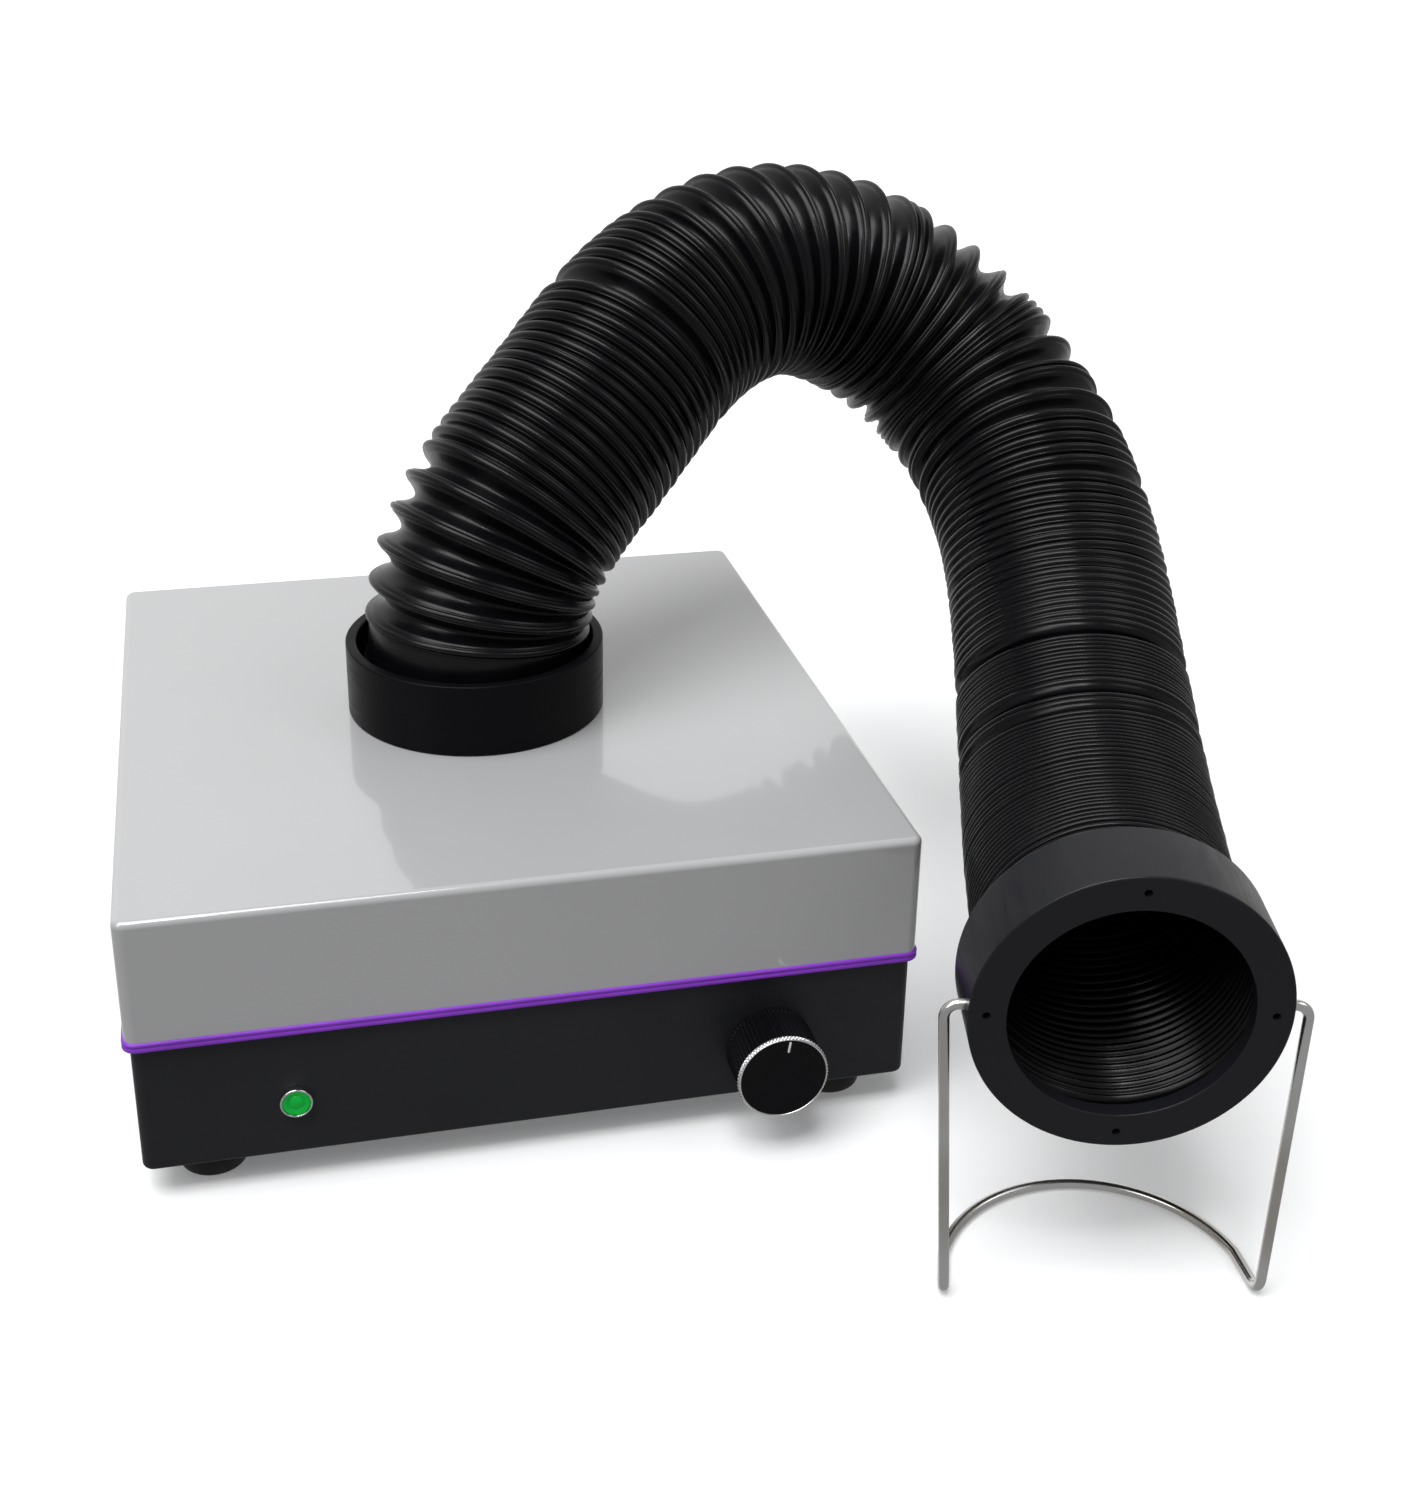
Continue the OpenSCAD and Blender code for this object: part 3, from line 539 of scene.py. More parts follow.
def make_materials():
    """Every material slot's finish."""
    return {
        "cover_paint": cover_paint(),
        "tray_paint": tray_paint(),
        "trim_rubber": rubber("trim_rubber", (0.26, 0.045, 0.6), 0.4),
        "foot_rubber": rubber("foot_rubber", (0.009, 0.009, 0.0095), 0.62),
        "zinc_steel": brushed("zinc_steel", (0.62, 0.63, 0.65), 0.32, (900, 900, 900)),
        "galvanised_sheet": galvanised(),
        "brass": brushed("brass", (0.72, 0.54, 0.22), 0.3, (900, 900, 60)),
        "fan_plastic": moulded("fan_plastic", (0.018, 0.019, 0.021), 0.45),
        "impeller_plastic": moulded("impeller_plastic", (0.04, 0.042, 0.046), 0.4),
        "motor_metal": brushed("motor_metal", (0.42, 0.43, 0.44), 0.38, (120, 120, 1500)),
        "shaft_steel": brushed("shaft_steel", (0.68, 0.69, 0.7), 0.2, (80, 80, 1200)),
        "ring_plastic": ring_plastic("ring_plastic", (0.0036, 0.0037, 0.0047), 0.07),
        "hose_plastic": hose_plastic(),
        "stainless_wire": drawn_wire(),
        "inlet_plastic": moulded("inlet_plastic", (0.012, 0.012, 0.013), 0.5),
        "circuit_board": circuit_board(),
        "component_plastic": component_plastic(),
        "nylon": moulded("nylon", (0.72, 0.72, 0.66), 0.5),
        "knob_black": knob_black(),
        "knob_bright": brushed("knob_bright", (0.93, 0.93, 0.93), 0.3, (700, 700, 700),
                               0.92, 1.06, 0.04, 0.8),
        "pointer_white": moulded("pointer_white", (0.82, 0.82, 0.8), 0.35, strength=0.05),
        "lamp_chrome": brushed("lamp_chrome", (0.78, 0.8, 0.8), 0.1, (500, 500, 500),
                               0.9, 1.06, 0.03),
        "lamp_green": lamp_green(),
        "lead_red": lead_insulation("lead_red", (0.42, 0.02, 0.02)),
        "lead_yellow": lead_insulation("lead_yellow", (0.6, 0.36, 0.03)),
        "lead_black": lead_insulation("lead_black", (0.02, 0.02, 0.022)),
        "lead_blue": lead_insulation("lead_blue", (0.04, 0.1, 0.36)),
        "filter_paper": filter_paper(),
        "carbon_foam": carbon_foam(),
        "prefilter_fleece": prefilter_fleece(),
    }


MATERIALS = make_materials()
# The nozzle is the same moulding as the collar; this paler, shinier copy of its finish is painted
# light, standing in for the extra light the nozzle catches
PAINTED_LIT_RING = ring_plastic("ring_plastic_painted_lit", (0.0112, 0.0116, 0.0146), 0.27)


def dress_cad_nodes():
    """Every carried-over CAD node takes the finish of its own material slot."""
    for part in frame["record"]["subparts"]:
        obj = NODES[part["node"]]
        obj.data.materials.clear()
        obj.data.materials.append(MATERIALS[part["material_slot"]])


# ---------- Housing ----------

def soft_shell(name, low, high, corner_r, edge_r, wall, open_top):
    """A sheet-metal pan or lid with rounded upright corners and one rounded edge.
    low and high are its corners in millimetres; edge_r rounds the closed end's edge."""
    w, d = high[0] - low[0], high[1] - low[1]
    cx, cy = (low[0] + high[0]) / 2, (low[1] + high[1]) / 2

    def skin(shrink, close_z, open_z):
        rings = []
        r = max(corner_r - shrink, 0.6)
        e = max(edge_r - shrink, 0.4)
        up = 1 if close_z > open_z else -1
        outline = rounded_rectangle(w - 2 * shrink, d - 2 * shrink, r)
        rings.append([(x, y, open_z) for x, y in outline])
        for i in range(7):
            a = math.radians(90 * i / 6)
            inset = e * (1 - math.cos(a))
            ring = rounded_rectangle(w - 2 * shrink - 2 * inset, d - 2 * shrink - 2 * inset,
                                     max(r - inset, 0.25))
            rings.append([(x, y, close_z - up * e * (1 - math.sin(a))) for x, y in ring])
        return rings

    if open_top:
        outer = skin(0, low[2], high[2])
        inner = skin(wall, low[2] + wall, high[2])
    else:
        outer = skin(0, high[2], low[2])
        inner = skin(wall, high[2] - wall, low[2])
    rings = outer[::-1] + inner
    n = len(rings[0])
    verts = [at_housing((x + cx, y + cy, z)) for ring in rings for x, y, z in ring]
    faces = grid_faces(len(rings), n)
    faces.append(tuple(range(n)))
    faces.append(tuple(range((len(rings) - 1) * n, len(rings) * n)))
    return recalc(new_mesh(name, verts, faces))


def local(corner):
    """A row-frame corner in housing millimetres."""
    return (Vector(corner) - HOUSING) / MM


def weighted(obj, angle=30):
    """Keeps flat faces flat where they meet narrow rounded edges."""
    sharpen(obj, angle)
    m = obj.modifiers.new("weighted", "WEIGHTED_NORMAL")
    m.keep_sharp = True
    m.weight = 80
    return apply_modifiers(obj)


def build_cover():
    """The folded lid, bored for the hose and drilled for the collar screws."""
    low, high = local(cover_low), local(cover_high)
    cover = soft_shell("cover_shell", low, high, EDGE_R, FOLD_R, SHEET, False)
    top = Vector((HOUSING.x, HOUSING.y, cover_high.z))
    holes = [rod_cutter(top, (0, 0, 1), FACE_BORE_R * MM, 2 * THROUGH * MM, 96)]
    for k in range(4):
        a = math.pi / 2 * k
        offset = Vector((math.cos(a), math.sin(a), 0)) * HOLE_CIRCLE_R * MM
        holes.append(rod_cutter(top + offset, (0, 0, 1), COLLAR_SCREW_R * MM,
                                2 * THROUGH * MM, 24))
    cut(cover, *holes)
    weighted(cover)
    piece(cover, MATERIALS["cover_paint"], "cover", ["top_cover"])


def build_tray():
    """The folded pan, with openings for the knob, lamp, grille, inlet and feet."""
    low, high = local(tray_low), local(tray_high)
    tray = soft_shell("tray_shell", low, high, EDGE_R, 1.6, SHEET, True)
    front, rear = tray_low.y, tray_high.y
    holes = []
    for node, radius in (("speed_pot", POT_HOLE_R), ("lamp_body", LAMP_HOLE_R)):
        a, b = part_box(node)
        holes.append(rod_cutter(((a.x + b.x) / 2, front, (a.z + b.z) / 2), (0, 1, 0),
                                radius * MM, THROUGH * MM))
    for node, rim, lip in (("exhaust_grille", GRILLE_RIM, GRILLE_LIP),
                           ("power_inlet", INLET_FLANGE, INLET_LIP)):
        a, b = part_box(node)
        holes.append(block_cutter(
            (a.x + rim * MM, rear - THROUGH / 2 * MM, a.z + lip * MM),
            (b.x - rim * MM, rear + THROUGH / 2 * MM, b.z - lip * MM)))
    for node in FEET:
        a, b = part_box(node)
        holes.append(rod_cutter(((a.x + b.x) / 2, (a.y + b.y) / 2, tray_low.z), (0, 0, 1),
                                FOOT_HOLE_R * MM, THROUGH * MM, 32))
    cut(tray, *holes)
    weighted(tray)
    piece(tray, MATERIALS["tray_paint"], "base", ["tray"])


def build_trim():
    """A soft channel with a rounded outer face, swept round the cover's lower edge."""
    low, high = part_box("seal_trim")
    a, b = local(low), local(high)
    w, d, h = b.x - a.x, b.y - a.y, b.z - a.z
    bulge = 1.2
    section = [(-bulge, 0.1)] + arc(-1.2, 0.9, 0.8, -80, 10, 5)
    section += [(-0.46, 1.7), (-0.62, 1.9), (-0.63, 2.04), (-0.48, 2.25)]
    section += arc(-1.2, 2.75, 0.8, 0, 90, 5)
    section += [(-bulge - 0.1, 3.6), (-bulge - 0.1, h), (-bulge - 2.2, h), (-bulge - 2.2, 0.1)]
    verts = []
    outline = None
    for offset, z in section:
        ring = rounded_rectangle(w + 2 * offset, d + 2 * offset, EDGE_R + bulge + offset)
        outline = len(ring)
        verts += [at_housing((x, y, a.z + z)) for x, y in ring]
    trim = new_mesh("trim_bead", verts, grid_faces(len(section), outline, closed_rows=True))
    recalc(trim)
    sharpen(trim, 50)
    piece(trim, MATERIALS["trim_rubber"], "cover", ["seal_trim"])


FEET = ("foot_front_left", "foot_front_right", "foot_rear_left", "foot_rear_right")


def build_foot(node):
    """Turned rubber foot: a soft lip against the bench, a groove under the tray, a screw recess."""
    low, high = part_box(node)
    profile = [(FOOT_HOLE_R, 5.0), (4.6, 5.0)] + arc(5.2, 0.6, 0.6, 180, 270, 3)
    profile += arc(FOOT_R - 2.5, 1.7, 1.7, -90, -12, 6)
    profile += [(FOOT_R - 0.62, FOOT_H - 4.6), (FOOT_R - 0.8, FOOT_H - 4.2)]
    profile += arc(FOOT_R - 0.7, FOOT_H - 1.5, 0.7, -20, 0, 2)
    profile += arc(FOOT_R - 0.7, FOOT_H - 0.7, 0.7, 0, 90, 4)
    profile += [(FOOT_HOLE_R, FOOT_H)]
    foot = lathe("soft_" + node, profile, 72)
    place(foot, Matrix.Translation(((low.x + high.x) / 2, (low.y + high.y) / 2, 0)))
    piece(foot, MATERIALS["foot_rubber"], "base", [node])


# ---------- Hose rings ----------

def ring_profile():
    """Half section of the moulded ring, face at z = 0, with softened edges."""
    r = 0.7
    profile = arc(FACE_BORE_R + 0.5, 0.5, 0.5, 180, 270, 4)
    profile += arc(RING_R - r, r, r, -90, 0, 5)
    middle = RING_H * 0.5
    profile += [(RING_R, middle - 0.12), (RING_R, middle), (RING_R, middle + 0.12)]
    profile += arc(RING_R - r, RING_H - r, r, 0, 90, 5)
    profile += arc(SOCKET_R + 0.8, RING_H - 0.8, 0.8, 90, 180, 4)
    profile += [(SOCKET_R, FACE_T + 1.0), (SOCKET_R - 0.8, FACE_T), (FACE_BORE_R + 0.4, FACE_T),
                (FACE_BORE_R, FACE_T - 0.4)]
    return profile


def build_ring(name, matrix, body, node, finish, pins):
    """The moulded ring with its four blind screw holes, and pin holes where it carries the bail."""
    ring = lathe(name, ring_profile(), 144)
    holes = []
    for k in range(4):
        a = math.pi / 2 * k
        centre = Vector((math.cos(a), math.sin(a), 0)) * HOLE_CIRCLE_R * MM
        holes.append(rod_cutter(centre, (0, 0, 1), HOLE_R * MM, 2 * (FACE_T - 1) * MM, 24))
    if pins:
        for x in (-1, 1):
            centre = Vector((x * (PIN_END_X + 4.7), 0, PIVOT_BACK)) * MM
            holes.append(rod_cutter(centre, (1, 0, 0), (WIRE_R + 0.05) * MM, THROUGH * MM, 32))
    cut(ring, *holes)
    place(ring, matrix)
    weighted(ring, 40)
    piece(ring, finish, body, [node])


def nozzle_matrix():
    """The nozzle's own frame: -Y outward through its face."""
    place_at = Matrix.Translation(at_housing(NOZZLE_FACE))
    turn = Matrix.Rotation(math.radians(NOZZLE_TURN), 4, "Z")
    dip = Matrix.Rotation(math.radians(NOZZLE_DIP), 4, "X")
    return place_at @ turn @ dip


def build_rings():
    """The collar on the cover and the same moulding, turned round, as the nozzle."""
    collar = Matrix.Translation(at_housing((0, 0, COVER_TOP)))
    build_ring("collar_moulding", collar, "cover", "hose_collar", MATERIALS["ring_plastic"],
               False)
    lay = Matrix.Rotation(math.radians(-90), 4, "X")
    # The nozzle takes the paler copy of the ring's finish, painted lighter for the light it catches
    build_ring("nozzle_moulding", nozzle_matrix() @ lay, "nozzle", "nozzle_ring", PAINTED_LIT_RING,
               True)


# ---------- Hose ----------

def route_point(s):
    """The hose's centre, in millimetres from the housing, at route parameter s."""
    i = min(int(s), len(ROUTE) - 4)
    t = s - i
    u = 1 - t
    return (u ** 3 * ROUTE[i] + (3 * t ** 3 - 6 * t * t + 4) * ROUTE[i + 1]
            + (3 * u ** 3 - 6 * u * u + 4) * ROUTE[i + 2] + t ** 3 * ROUTE[i + 3]) / 6


def route_frame(s):
    """Centre, direction and the two cross axes of the hose at route parameter s."""
    step = 0.01
    direction = (route_point(s + step) - route_point(s - step)).normalized()
    a = direction.cross(LEAN).normalized()
    return route_point(s), direction, a, direction.cross(a)


class RouteLength:
    """Turns a length along the hose's centreline into the route parameter."""

    def __init__(self, steps=1200):
        self.s = [ROUTE_END * i / steps for i in range(steps + 1)]
        self.length = [0.0]
        last = route_point(0)
        for value in self.s[1:]:
            point = route_point(value)
            self.length.append(self.length[-1] + (point - last).length)
            last = point

    def parameter(self, length):
        """The route parameter at a length along the hose."""
        low, high = 0, len(self.s) - 1
        while high - low > 1:
            middle = (low + high) // 2
            if self.length[middle] > length:
                high = middle
            else:
                low = middle
        share = (length - self.length[low]) / max(self.length[high] - self.length[low], 1e-9)
        return self.s[low] + share * (self.s[high] - self.s[low])

    def at(self, parameter):
        """The length along the hose at a route parameter."""
        share = parameter / ROUTE_END * (len(self.s) - 1)
        i = min(int(share), len(self.s) - 2)
        return self.length[i] + (share - i) * (self.length[i + 1] - self.length[i])


# Pleats from the collar to the nozzle: how many, and how far apart in millimetres.
# Wide spacings are pleats pulled open, narrow ones are pleats pushed shut.
PLEATS = [
    (2, 5.0), (1, 14.5), (5, 9.2), (15, 4.8), (1, 11.0), (5, 4.75), (1, 7.0), (5, 9.5),
    (2, 10.2), (1, 11.5), (2, 3.7), (2, 11.0), (1, 12.0), (1, 10.0), (3, 3.6), (1, 10.4),
    (1, 12.0), (1, 3.5), (1, 11.5), (1, 10.0), (4, 4.7), (1, 7.0), (6, 4.8), (1, 6.4),
    (6, 5.2), (4, 4.2), (1, 11.0), (11, 2.5), (1, 9.5), (1, 2.8), (1, 8.5), (60, 2.85)]
FIRST_RIB = 3.0
WIDE_PLEAT = 3.9
OPEN_PLEAT = 6
CUFF = 14
# Near the nozzle the few open pleats are folds between tightly packed ones, and go deeper
FOLDS_FROM = 470
FOLD_WIDTH = 6.5
FOLD_DEPTH = 4.0
# Pleats that gape on the hose's outer side: length along the hose and extra width there
GAPING = [(400, 3.8), (436, 3.4), (482, 2.6), (498, -1.5)]
GAPE_SIDE = Vector((0.97, -0.23, 0.0))
# How far forward the ribs' top edges lean where the hose comes down to the nozzle
LEANING = [(355, 0.0), (430, 20.0), (540, 20.0), (575, 12.0), (630, 0.0)]
TOP_SIDE = Vector((-0.28, -0.19, 0.94))
COLUMNS = 120
FRAME_STEP = 1.0
CIRCLE = [(math.cos(2 * math.pi * k / COLUMNS), math.sin(2 * math.pi * k / COLUMNS))
          for k in range(COLUMNS)]


def rib_places(total):
    """Lengths along the centreline of every rib's crest, with a little unevenness."""
    dice = random.Random(7)
    places = [FIRST_RIB]
    for count, pitch in PLEATS:
        for _ in range(count):
            uneven = 0.05 if OPEN_PLEAT < pitch < CUFF else 0.03
            places.append(places[-1] + pitch * (1 + dice.uniform(-uneven, uneven)))
    return [p for p in places if p < total]


def pleat_rows(gap, wide, cuff, fold):
    """From a crest to the middle of a pleat: (millimetres along, depth) of each row.
    A narrow rolled bead, a small second lip, then a flank that runs out into the valley;
    the plain cuff in the collar has beads and no valley."""
    bead = min(1.4, 0.33 * gap)
    half = gap / 2
    lip = 0.92 * bead
    depth = lip + 0.3 if cuff else min(6.6, 0.95 * bead + 0.62 * (gap - 2 * bead)) + fold
    rows = [(0.0, 0.0), (0.5 * bead, 0.13 * bead), (0.84 * bead, 0.44 * bead), (bead, lip)]
    if wide:
        rows.append((1.14 * bead, lip + 0.16))
        rows.append((1.34 * bead, lip + 0.1))
    first, top = rows[-1]
    for share in ((0.2, 0.45, 0.72, 0.9, 1.0) if wide else (0.5, 1.0)):
        fall = 1 - (1 - share) ** 1.9
        rows.append((first + (half - first) * share, top + (depth - top) * fall))
    return rows


class HoseSkin:
    """The pleated skin of the whole hose; stretches are taken from it."""

    def __init__(self):
        self.length = RouteLength()
        total = self.length.length[-1]
        self.frames = []
        for i in range(int(total / FRAME_STEP) + 1):
            centre, _, a, b = route_frame(self.length.parameter(i * FRAME_STEP))
            self.frames.append((centre, a, b))
        self.places = rib_places(total - 0.6)
        self.dice = random.Random(11)
        self.crests = [self.crest(place) for place in self.places]

    def gape(self, place):
        """How far a crest leans towards the gaping side, in millimetres at the rim."""
        lean = 0.0
        for middle, width in GAPING:
            away = place - middle
            lean += math.copysign(0.5 * width * math.exp(-abs(away) / 11), away)
        return lean

    def forward(self, place):
        """How far a crest's top edge leads its middle, in millimetres."""
        for (start, low), (end, high) in zip(LEANING, LEANING[1:]):
            if start <= place < end:
                t = (place - start) / (end - start)
                return low + (high - low) * t * t * (3 - 2 * t)
        return 0.0

    def crest(self, place):
        """A crest's route parameter, its points and the outward directions at them."""
        s = self.length.parameter(place)
        _, _, a, b = route_frame(s)
        reach = HOSE_R - 0.12 - self.dice.uniform(0, 0.3)
        side, forward = self.gape(place), self.forward(place)
        lean_a = self.dice.uniform(-0.3, 0.3)
        lean_a += side * GAPE_SIDE.dot(a) + forward * TOP_SIDE.dot(a)
        lean_b = self.dice.uniform(-0.3, 0.3)
        lean_b += side * GAPE_SIDE.dot(b) + forward * TOP_SIDE.dot(b)
        points, outward = [], []
        for c, n in CIRCLE:
            centre, across_a, across_b = self.at(place + lean_a * c + lean_b * n)
            across = c * across_a + n * across_b
            points.append(centre + reach * across)
            outward.append(across)
        return s, points, outward

    def at(self, length):
        """Centre and cross axes at a length along the hose, from the table."""
        share = max(0.0, min(length / FRAME_STEP, len(self.frames) - 1.001))
        i = int(share)
        t = share - i
        return [p * (1 - t) + q * t for p, q in zip(self.frames[i], self.frames[i + 1])]

    def pleat(self, i, skip, inside):
        """Rings of points over pleat i, as deep as the pleat is open at each place round it."""
        _, near, near_out = self.crests[i]
        _, far, far_out = self.crests[i + 1]
        pitch = self.places[i + 1] - self.places[i]
        wide, cuff = pitch > WIDE_PLEAT, pitch > CUFF
        fold = FOLD_DEPTH if pitch > FOLD_WIDTH and self.places[i] > FOLDS_FROM else 0.0
        columns = []
        for k in range(COLUMNS):
            span = far[k] - near[k]
            gap = span.length
            half = pleat_rows(gap, wide, cuff, fold)
            rows = half + [(gap - x, d) for x, d in reversed(half[1:-1])]
            column = []
            for x, d in rows[::skip]:
                t = x / gap
                out = near_out[k] * (1 - t) + far_out[k] * t
                column.append(at_housing(near[k] + span * t - out * (d + inside)))
            columns.append(column)
        return [[column[j] for column in columns] for j in range(len(columns[0]))]

    def last(self, i, inside):
        """The ring of points on crest i alone."""
        _, points, outward = self.crests[i]
        return [at_housing(p - o * inside) for p, o in zip(points, outward)]

    def stretch(self, name, start, end):
        """A closed thin-walled piece of the skin between two route parameters."""
        chosen = [i for i in range(len(self.crests) - 1) if start <= self.crests[i][0] < end]
        outer, inner = [], []
        for i in chosen:
            outer += self.pleat(i, 1, 0.0)
            inner += self.pleat(i, 2, HOSE_WALL)
        outer.append(self.last(chosen[-1] + 1, 0.0))
        inner.append(self.last(chosen[-1] + 1, HOSE_WALL))
        rings = outer + inner[::-1]
        verts = [p for ring in rings for p in ring]
        faces = grid_faces(len(rings), COLUMNS, closed_rows=True)
        return recalc(new_mesh(name, verts, faces))


# Each stretch: its name, the rigid body it rides or None where it lies on a bend, and its two ends
STRETCHES = [
    ("riser", "hose_root", 0.03, 2), ("crown", "hose_root", 2, 4), ("shoulder", None, 4, 7.25),
    ("fall", "elbow", 7.25, 7.75), ("elbow", None, 7.75, 9.5), ("front", "neck", 9.5, 10.25),
    ("neck", None, 10.25, ROUTE_END),
]


def bend_with(part):
    """Bakes the stretch's placement into its mesh."""
    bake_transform(part)


def build_hose():
    """Every stretch of the skin, on the rigid body that it rides, or unattached where it lies on a
    bend.
    """
    skin = HoseSkin()
    for name, follows, start, end in STRETCHES:
        part = skin.stretch("ribbed_" + name, start, end)
        part.data.shade_smooth()
        rides = follows if follows == "hose_root" else None
        piece(part, MATERIALS["hose_plastic"], rides, ["hose_" + name])
        if rides is None:
            bend_with(part)


# ---------- Bail ----------

def fillet_path(points, radius, steps=8):
    """A path through points with its corners rounded to radius."""
    path = [points[0]]
    for before, corner, after in zip(points, points[1:], points[2:]):
        u, v = (before - corner).normalized(), (after - corner).normalized()
        half = u.angle(v) / 2
        setback = radius / math.tan(half)
        setback = min(setback, 0.49 * (before - corner).length, 0.49 * (after - corner).length)
        start, end = corner + u * setback, corner + v * setback
        centre = corner + (u + v).normalized() * setback / math.cos(half)
        r0, r1 = start - centre, end - centre
        turn = r0.angle(r1)
        axis = r0.cross(r1).normalized()
        for i in range(steps + 1):
            path.append(centre + Matrix.Rotation(turn * i / steps, 3, axis) @ r0)
    path.append(points[-1])
    return path


def sweep(name, path, radius, sides=28):
    """A round rod along a path of points in metres, with softly domed ends."""
    tangents = []
    for i in range(len(path)):
        a, b = path[max(i - 1, 0)], path[min(i + 1, len(path) - 1)]
        tangents.append((b - a).normalized())
    across = tangents[0].orthogonal().normalized()
    rings = []
    for i, (point, tangent) in enumerate(zip(path, tangents)):
        across = (across - tangent * across.dot(tangent)).normalized()
        other = tangent.cross(across)
        rings.append((point, tangent, across, other))
    verts = []

    def add(point, across, other, r):
        for k in range(sides):
            a = 2 * math.pi * k / sides
            verts.append(point + r * (math.cos(a) * across + math.sin(a) * other))

    dome = [(0.3, 0.0), (0.75, 0.08), (0.95, 0.25)]
    point, tangent, across, other = rings[0]
    for share, back in dome:
        add(point + tangent * radius * back, across, other, radius * share)
    for j, (point, tangent, across, other) in enumerate(rings):
        shift = 0.5 * radius if j == 0 else (-0.5 * radius if j == len(rings) - 1 else 0)
        add(point + tangent * shift, across, other, radius)
    for share, back in reversed(dome):
        add(point - tangent * radius * back, across, other, radius * share)
    count = len(verts) // sides
    faces = grid_faces(count, sides)
    faces.append(tuple(range(sides)))
    faces.append(tuple(range((count - 1) * sides, count * sides)))
    return recalc(new_mesh(name, verts, faces))


def build_bail():
    """The bent wire stand: two pins, two splayed legs and a half-round foot."""
    drop = NOZZLE_FACE.z + PIVOT_BACK * math.sin(math.radians(NOZZLE_DIP)) - WIRE_R
    foot_start, bend, steps = 4.0, 5.5, 40
    foot = []
    for i in range(steps // 2 + 1):
        a = math.pi * i / steps
        foot.append(Vector((LEG_FOOT_X * math.cos(a), -LEG_LEAN + foot_start
                            + LEG_FOOT_X * math.sin(a), -drop)))
    knee = fillet_path([Vector((PIN_END_X, 0, 0)), Vector((LEG_TOP_X, 0, 0)),
                        Vector((LEG_FOOT_X, -LEG_LEAN, -drop)), foot[3]], bend)[:-1]
    side = knee + [(knee[-1] + foot[4]) / 2] + foot[4:]
    path = side + [Vector((-p.x, p.y, p.z)) for p in reversed(side[:-1])]
    level = nozzle_matrix() @ (Vector((0, PIVOT_BACK, 0)) * MM)
    turn = Matrix.Translation(level) @ Matrix.Rotation(math.radians(NOZZLE_TURN), 4, "Z")
    bail = sweep("bail_wire", [turn @ (p * MM) for p in path], WIRE_R * MM)
    piece(bail, MATERIALS["stainless_wire"], "bail", ["bail_stand"])


# ---------- Knob and lamp ----------

def front_matrix(node):
    """A frame on the tray's front at a node's middle, +Z outward."""
    low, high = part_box(node)
    middle = Vector(((low.x + high.x) / 2, tray_low.y, (low.z + high.z) / 2))
    return Matrix.Translation(middle) @ Matrix.Rotation(math.radians(90), 4, "X")


def build_knob():
    """The knob: knurled skirt, bright ring and index mark."""
    base = front_matrix("knob_ring")
    build_knob_skirt(base)
    build_knob_ring(base)
    build_pointer(base)


def toothed(name, rows, teeth, per_tooth, high, deep):
    """A turned shape from (radius, height, share of tooth) rows, fluted round its rim."""
    columns = teeth * per_tooth
    verts = []
    for radius, z, share in rows:
        for k in range(columns):
            wave = 0.5 - 0.5 * math.cos(2 * math.pi * (k % per_tooth) / per_tooth)
            r = radius + share * (high - deep * wave)
            a = 2 * math.pi * k / columns
            verts.append(Vector((r * math.cos(a), r * math.sin(a), z)) * MM)
    obj = recalc(new_mesh(name, verts, grid_faces(len(rows), columns, closed_rows=True)))
    return obj


def build_knob_skirt(base):
    """Knurled skirt with a dished black face, bored at the back for the shaft."""
    r = KNOB_R - 0.9
    top = KNOB_REACH - KNOB_RING_T
    face_r = KNOB_R - KNOB_RING_W - 0.02
    face_z = KNOB_REACH - 0.3
    rows = [(7.6, KNOB_GAP, 0), (r - 1.2, KNOB_GAP, 0), (r - 0.35, KNOB_GAP + 0.5, 0),
            (r, KNOB_GAP + 1.0, 0.25), (r, KNOB_GAP + 1.4, 1), (r, top - 1.2, 1),
            (r - 0.1, top - 0.7, 0.3), (r - 0.4, top - 0.3, 0), (r - 0.5, top, 0),
            (face_r, top + 0.01, 0), (face_r, face_z, 0), (face_r - 0.3, face_z + 0.1, 0),
            (face_r - 0.8, face_z, 0), (6.0, face_z - 0.15, 0), (0.05, face_z - 0.18, 0),
            (0.05, 5.6, 0), (7.3, 5.3, 0), (7.6, 5.0, 0)]
    knob = toothed("knob_skirt", rows, 60, 6, 0.3, 1.0)
    place(knob, base)
    sharpen(knob, 40)
    piece(knob, MATERIALS["knob_black"], "knob", ["speed_knob"])


def build_knob_ring(base):
    """Thin bright ring round the face, bevelled in and finely toothed on its rim."""
    inner = KNOB_R - KNOB_RING_W
    reach = KNOB_REACH
    back = reach - KNOB_RING_T
    rows = [(inner, back, 0), (KNOB_R - 0.45, back, 0), (KNOB_R - 0.1, back + 0.2, 1),
            (KNOB_R - 0.1, reach - 0.8, 1), (KNOB_R - 0.35, reach - 0.45, 0.4),
            (KNOB_R - 0.6, reach - 0.16, 0), (KNOB_R - 0.75, reach - 0.08, 0),
            (inner + 0.12, reach - 0.1, 0), (inner, reach - 0.25, 0)]
    ring = toothed("knob_bevel", rows, 76, 4, 0.1, 0.8)
    place(ring, base)
    sharpen(ring, 40)
    piece(ring, MATERIALS["knob_bright"], "knob", ["knob_ring"])


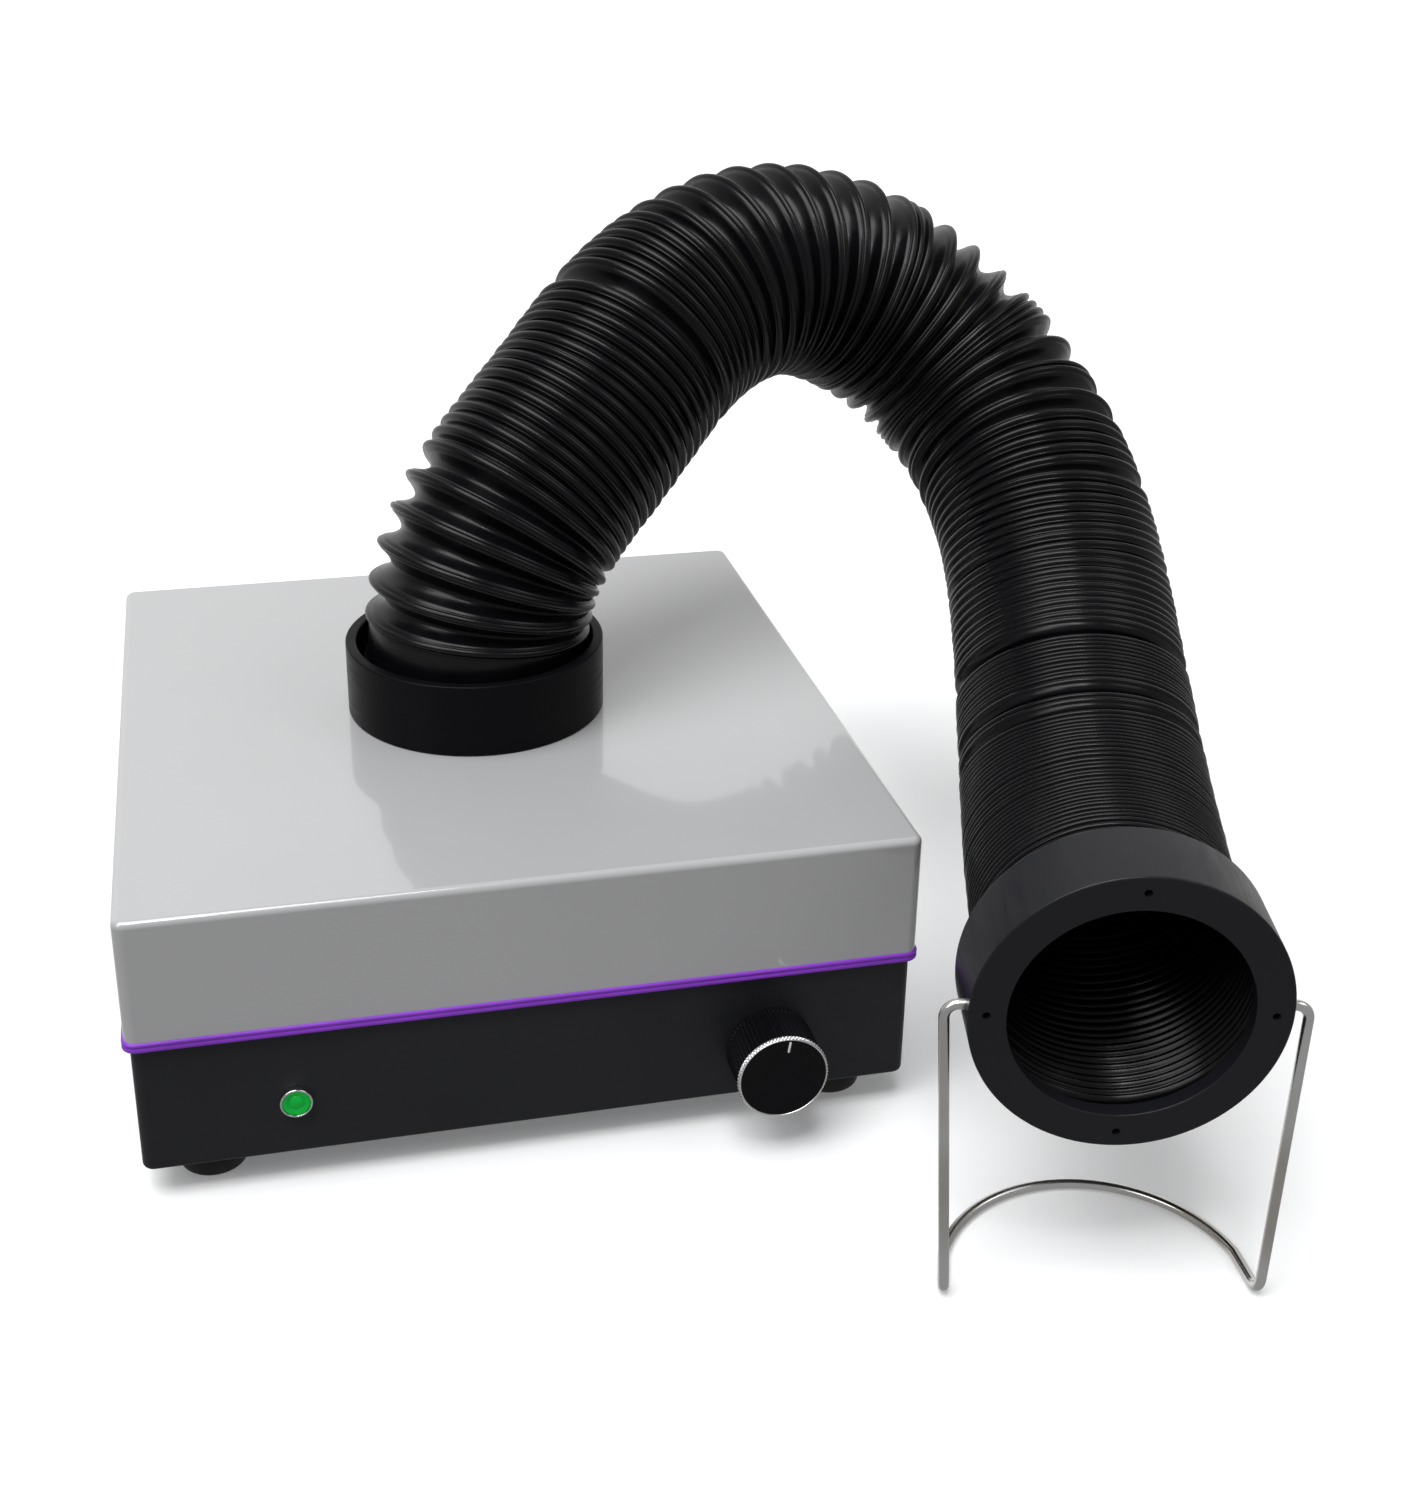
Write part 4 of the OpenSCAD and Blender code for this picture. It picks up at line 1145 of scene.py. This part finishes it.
def build_pointer(base):
    """Painted index line, rounded at its ends and a hair proud of the face."""
    width, length, height = 0.8, 4.2, 0.34
    outline = rounded_rectangle(width, length, 0.4, 5)
    n = len(outline)
    levels = ((0.0, 0.0), (0.0, height * 0.7), (0.12, height))
    verts = []
    for inset, z in levels:
        for x, y in outline:
            sx, sy = 1 - 2 * inset / width, 1 - 2 * inset / length
            verts.append(Vector((x * sx, y * sy + KNOB_R - 3.7, KNOB_REACH - 0.44 + z)) * MM)
    faces = grid_faces(len(levels), n)
    faces += [tuple(range(n)), tuple(range((len(levels) - 1) * n, len(levels) * n))]
    mark = recalc(new_mesh("pointer_mark", verts, faces))
    place(mark, base @ Matrix.Rotation(math.radians(POINTER_TURN), 4, "Z"))
    piece(mark, MATERIALS["pointer_white"], "knob", ["knob_pointer"])


def build_lamp():
    """A turned bright bezel round a ringed lens."""
    base = front_matrix("lamp_bezel")
    r = LAMP_R
    bezel = [(0.5, 0.02), (r - 0.25, 0.02)] + arc(r - 0.5, 0.5, 0.5, -60, 0, 3)
    bezel += [(r, 2.2)] + arc(r - 0.4, 2.6, 0.4, 0, 90, 5)
    bezel += arc(r - 0.5, 2.85, 0.15, 90, 180, 3) + [(r - 0.7, 1.0), (0.5, 1.0)]
    ring = lathe("lamp_bezel_turned", bezel, 72)
    place(ring, base)
    piece(ring, MATERIALS["lamp_chrome"], "base", ["lamp_bezel"])
    lens = [(0.02, 1.02), (r - 0.9, 1.02), (r - 0.74, 2.2)]
    lens += arc(r - 1.2, 2.2, 0.45, 20, 110, 4)
    lens += [(2.95, 2.25), (2.75, 2.0), (2.35, 2.0), (2.15, 2.3), (1.6, 2.55), (0.8, 2.68),
             (0.02, 2.72)]
    glass = lathe("lamp_lens_moulded", lens, 72)
    place(glass, base)
    piece(glass, MATERIALS["lamp_green"], "base", ["lamp_lens"])


# ---------- Stage, light and camera ----------

# The viewer's place in millimetres from the housing, and which way is right and up for them
CAMERA_AT = (-84.6, -683.55, 429.86)
CAMERA_RIGHT = Vector((0.97283, -0.23104, 0.01520))
CAMERA_UP = Vector((0.07847, 0.39075, 0.91715))
LENS = 48.35
LENS_SHIFT = (0.0102, -0.0768)


def stage_white(name, glow):
    """Matt studio white with a glow of its own, which lights nothing else."""
    s = Shader(name, (0.9, 0.905, 0.91), 0.6, Specular_IOR_Level=0.2,
               Emission_Color=(0.97, 0.985, 1, 1), Emission_Strength=glow)
    s.paint(s.colours(s.noise(2, 2), (0.3, (0.895, 0.9, 0.905)), (0.7, (0.905, 0.91, 0.915))))
    s.material.cycles.emission_sampling = "NONE"
    return s.material


def stage_piece(name, verts, faces, material):
    """Part of the studio: seen by the camera, and left out of the object's reflections."""
    obj = new_mesh(name, verts, faces)
    obj.visible_glossy = False
    obj.visible_diffuse = False
    obj.data.materials.append(material)
    return obj


def build_stage():
    """A pale floor whose far edge curves up into a pale dome, so no horizon shows."""
    half, low = 10.0, -0.0001
    corners = [(-half, -half, low), (half, -half, low), (half, half, low), (-half, half, low)]
    stage_piece("floor", corners, [(0, 1, 2, 3)], stage_white("floor_white", 0.15))
    radius, rise = 8.0, 6.0
    outline = arc(radius, rise, rise, -90, 0, 20)
    outline += arc(0, rise, radius + rise, 0, 89, 12)[1:]
    steps = 96
    verts = []
    for r, z in outline:
        for k in range(steps):
            a = 2 * math.pi * k / steps
            verts.append((r * math.cos(a), r * math.sin(a), z))
    dome = stage_piece("backdrop", verts, grid_faces(len(outline), steps),
                       stage_white("backdrop_white", 0.75))
    dome.visible_shadow = False


def build_world():
    """Soft studio surroundings: a pale backdrop behind and dimmer sides."""
    world = bpy.data.worlds.new("studio")
    bpy.context.scene.world = world
    world.use_nodes = True
    tree = world.node_tree
    sky = tree.nodes["Background"]
    sky.inputs["Color"].default_value = (1.0, 1.0, 1.0, 1)
    place = tree.nodes.new("ShaderNodeTexCoord")
    axes = tree.nodes.new("ShaderNodeSeparateXYZ")
    tree.links.new(place.outputs["Generated"], axes.inputs["Vector"])
    behind = tree.nodes.new("ShaderNodeMapRange")
    for socket, value in (("From Min", 0.35), ("From Max", 0.8), ("To Min", 0.3),
                          ("To Max", 0.78)):
        behind.inputs[socket].default_value = value
    tree.links.new(axes.outputs["Y"], behind.inputs["Value"])
    tree.links.new(behind.outputs["Result"], sky.inputs["Strength"])


def sun(name, source, strength, spread):
    """A far soft light coming from the direction source."""
    data = bpy.data.lights.new(name, "SUN")
    data.energy = strength
    data.angle = math.radians(spread)
    lamp = bpy.data.objects.new(name, data)
    bpy.context.scene.collection.objects.link(lamp)
    lamp.rotation_mode = "QUATERNION"
    lamp.rotation_quaternion = Vector(source).to_track_quat("Z", "Y")
    return lamp


def build_light():
    """Four soft suns over an even studio."""
    build_world()
    sun("overhead", (-0.28, -0.12, 1), 2.1, 42)
    sun("left", (-0.75, -0.4, 0.75), 0.65, 30)
    sun("right", (0.7, -0.3, 0.8), 0.35, 30)
    sun("front", (-0.1, -0.42, 0.9), 0.3, 9)
    bpy.context.scene.view_settings.view_transform = "Standard"


def build_camera():
    """A standing viewer a little to the left, looking down at the bench."""
    data = bpy.data.cameras.new("camera")
    camera = bpy.data.objects.new("camera", data)
    bpy.context.scene.collection.objects.link(camera)
    right, up = CAMERA_RIGHT, CAMERA_UP
    back = right.cross(up).normalized()
    right = up.cross(back).normalized()
    up = back.cross(right)
    turn = Matrix((right, up, back)).transposed().to_4x4()
    camera.matrix_world = Matrix.Translation(at_housing(CAMERA_AT)) @ turn
    data.sensor_width = 36
    data.lens = LENS
    data.shift_x, data.shift_y = LENS_SHIFT
    data.clip_start, data.clip_end = 0.01, 50
    bpy.context.scene.camera = camera


# ---------- Everything ----------

dress_cad_nodes()
build_camera()
build_light()
build_stage()
build_cover()
build_tray()
build_trim()
for foot_node in FEET:
    build_foot(foot_node)
build_rings()
build_hose()
build_bail()
build_knob()
build_lamp()
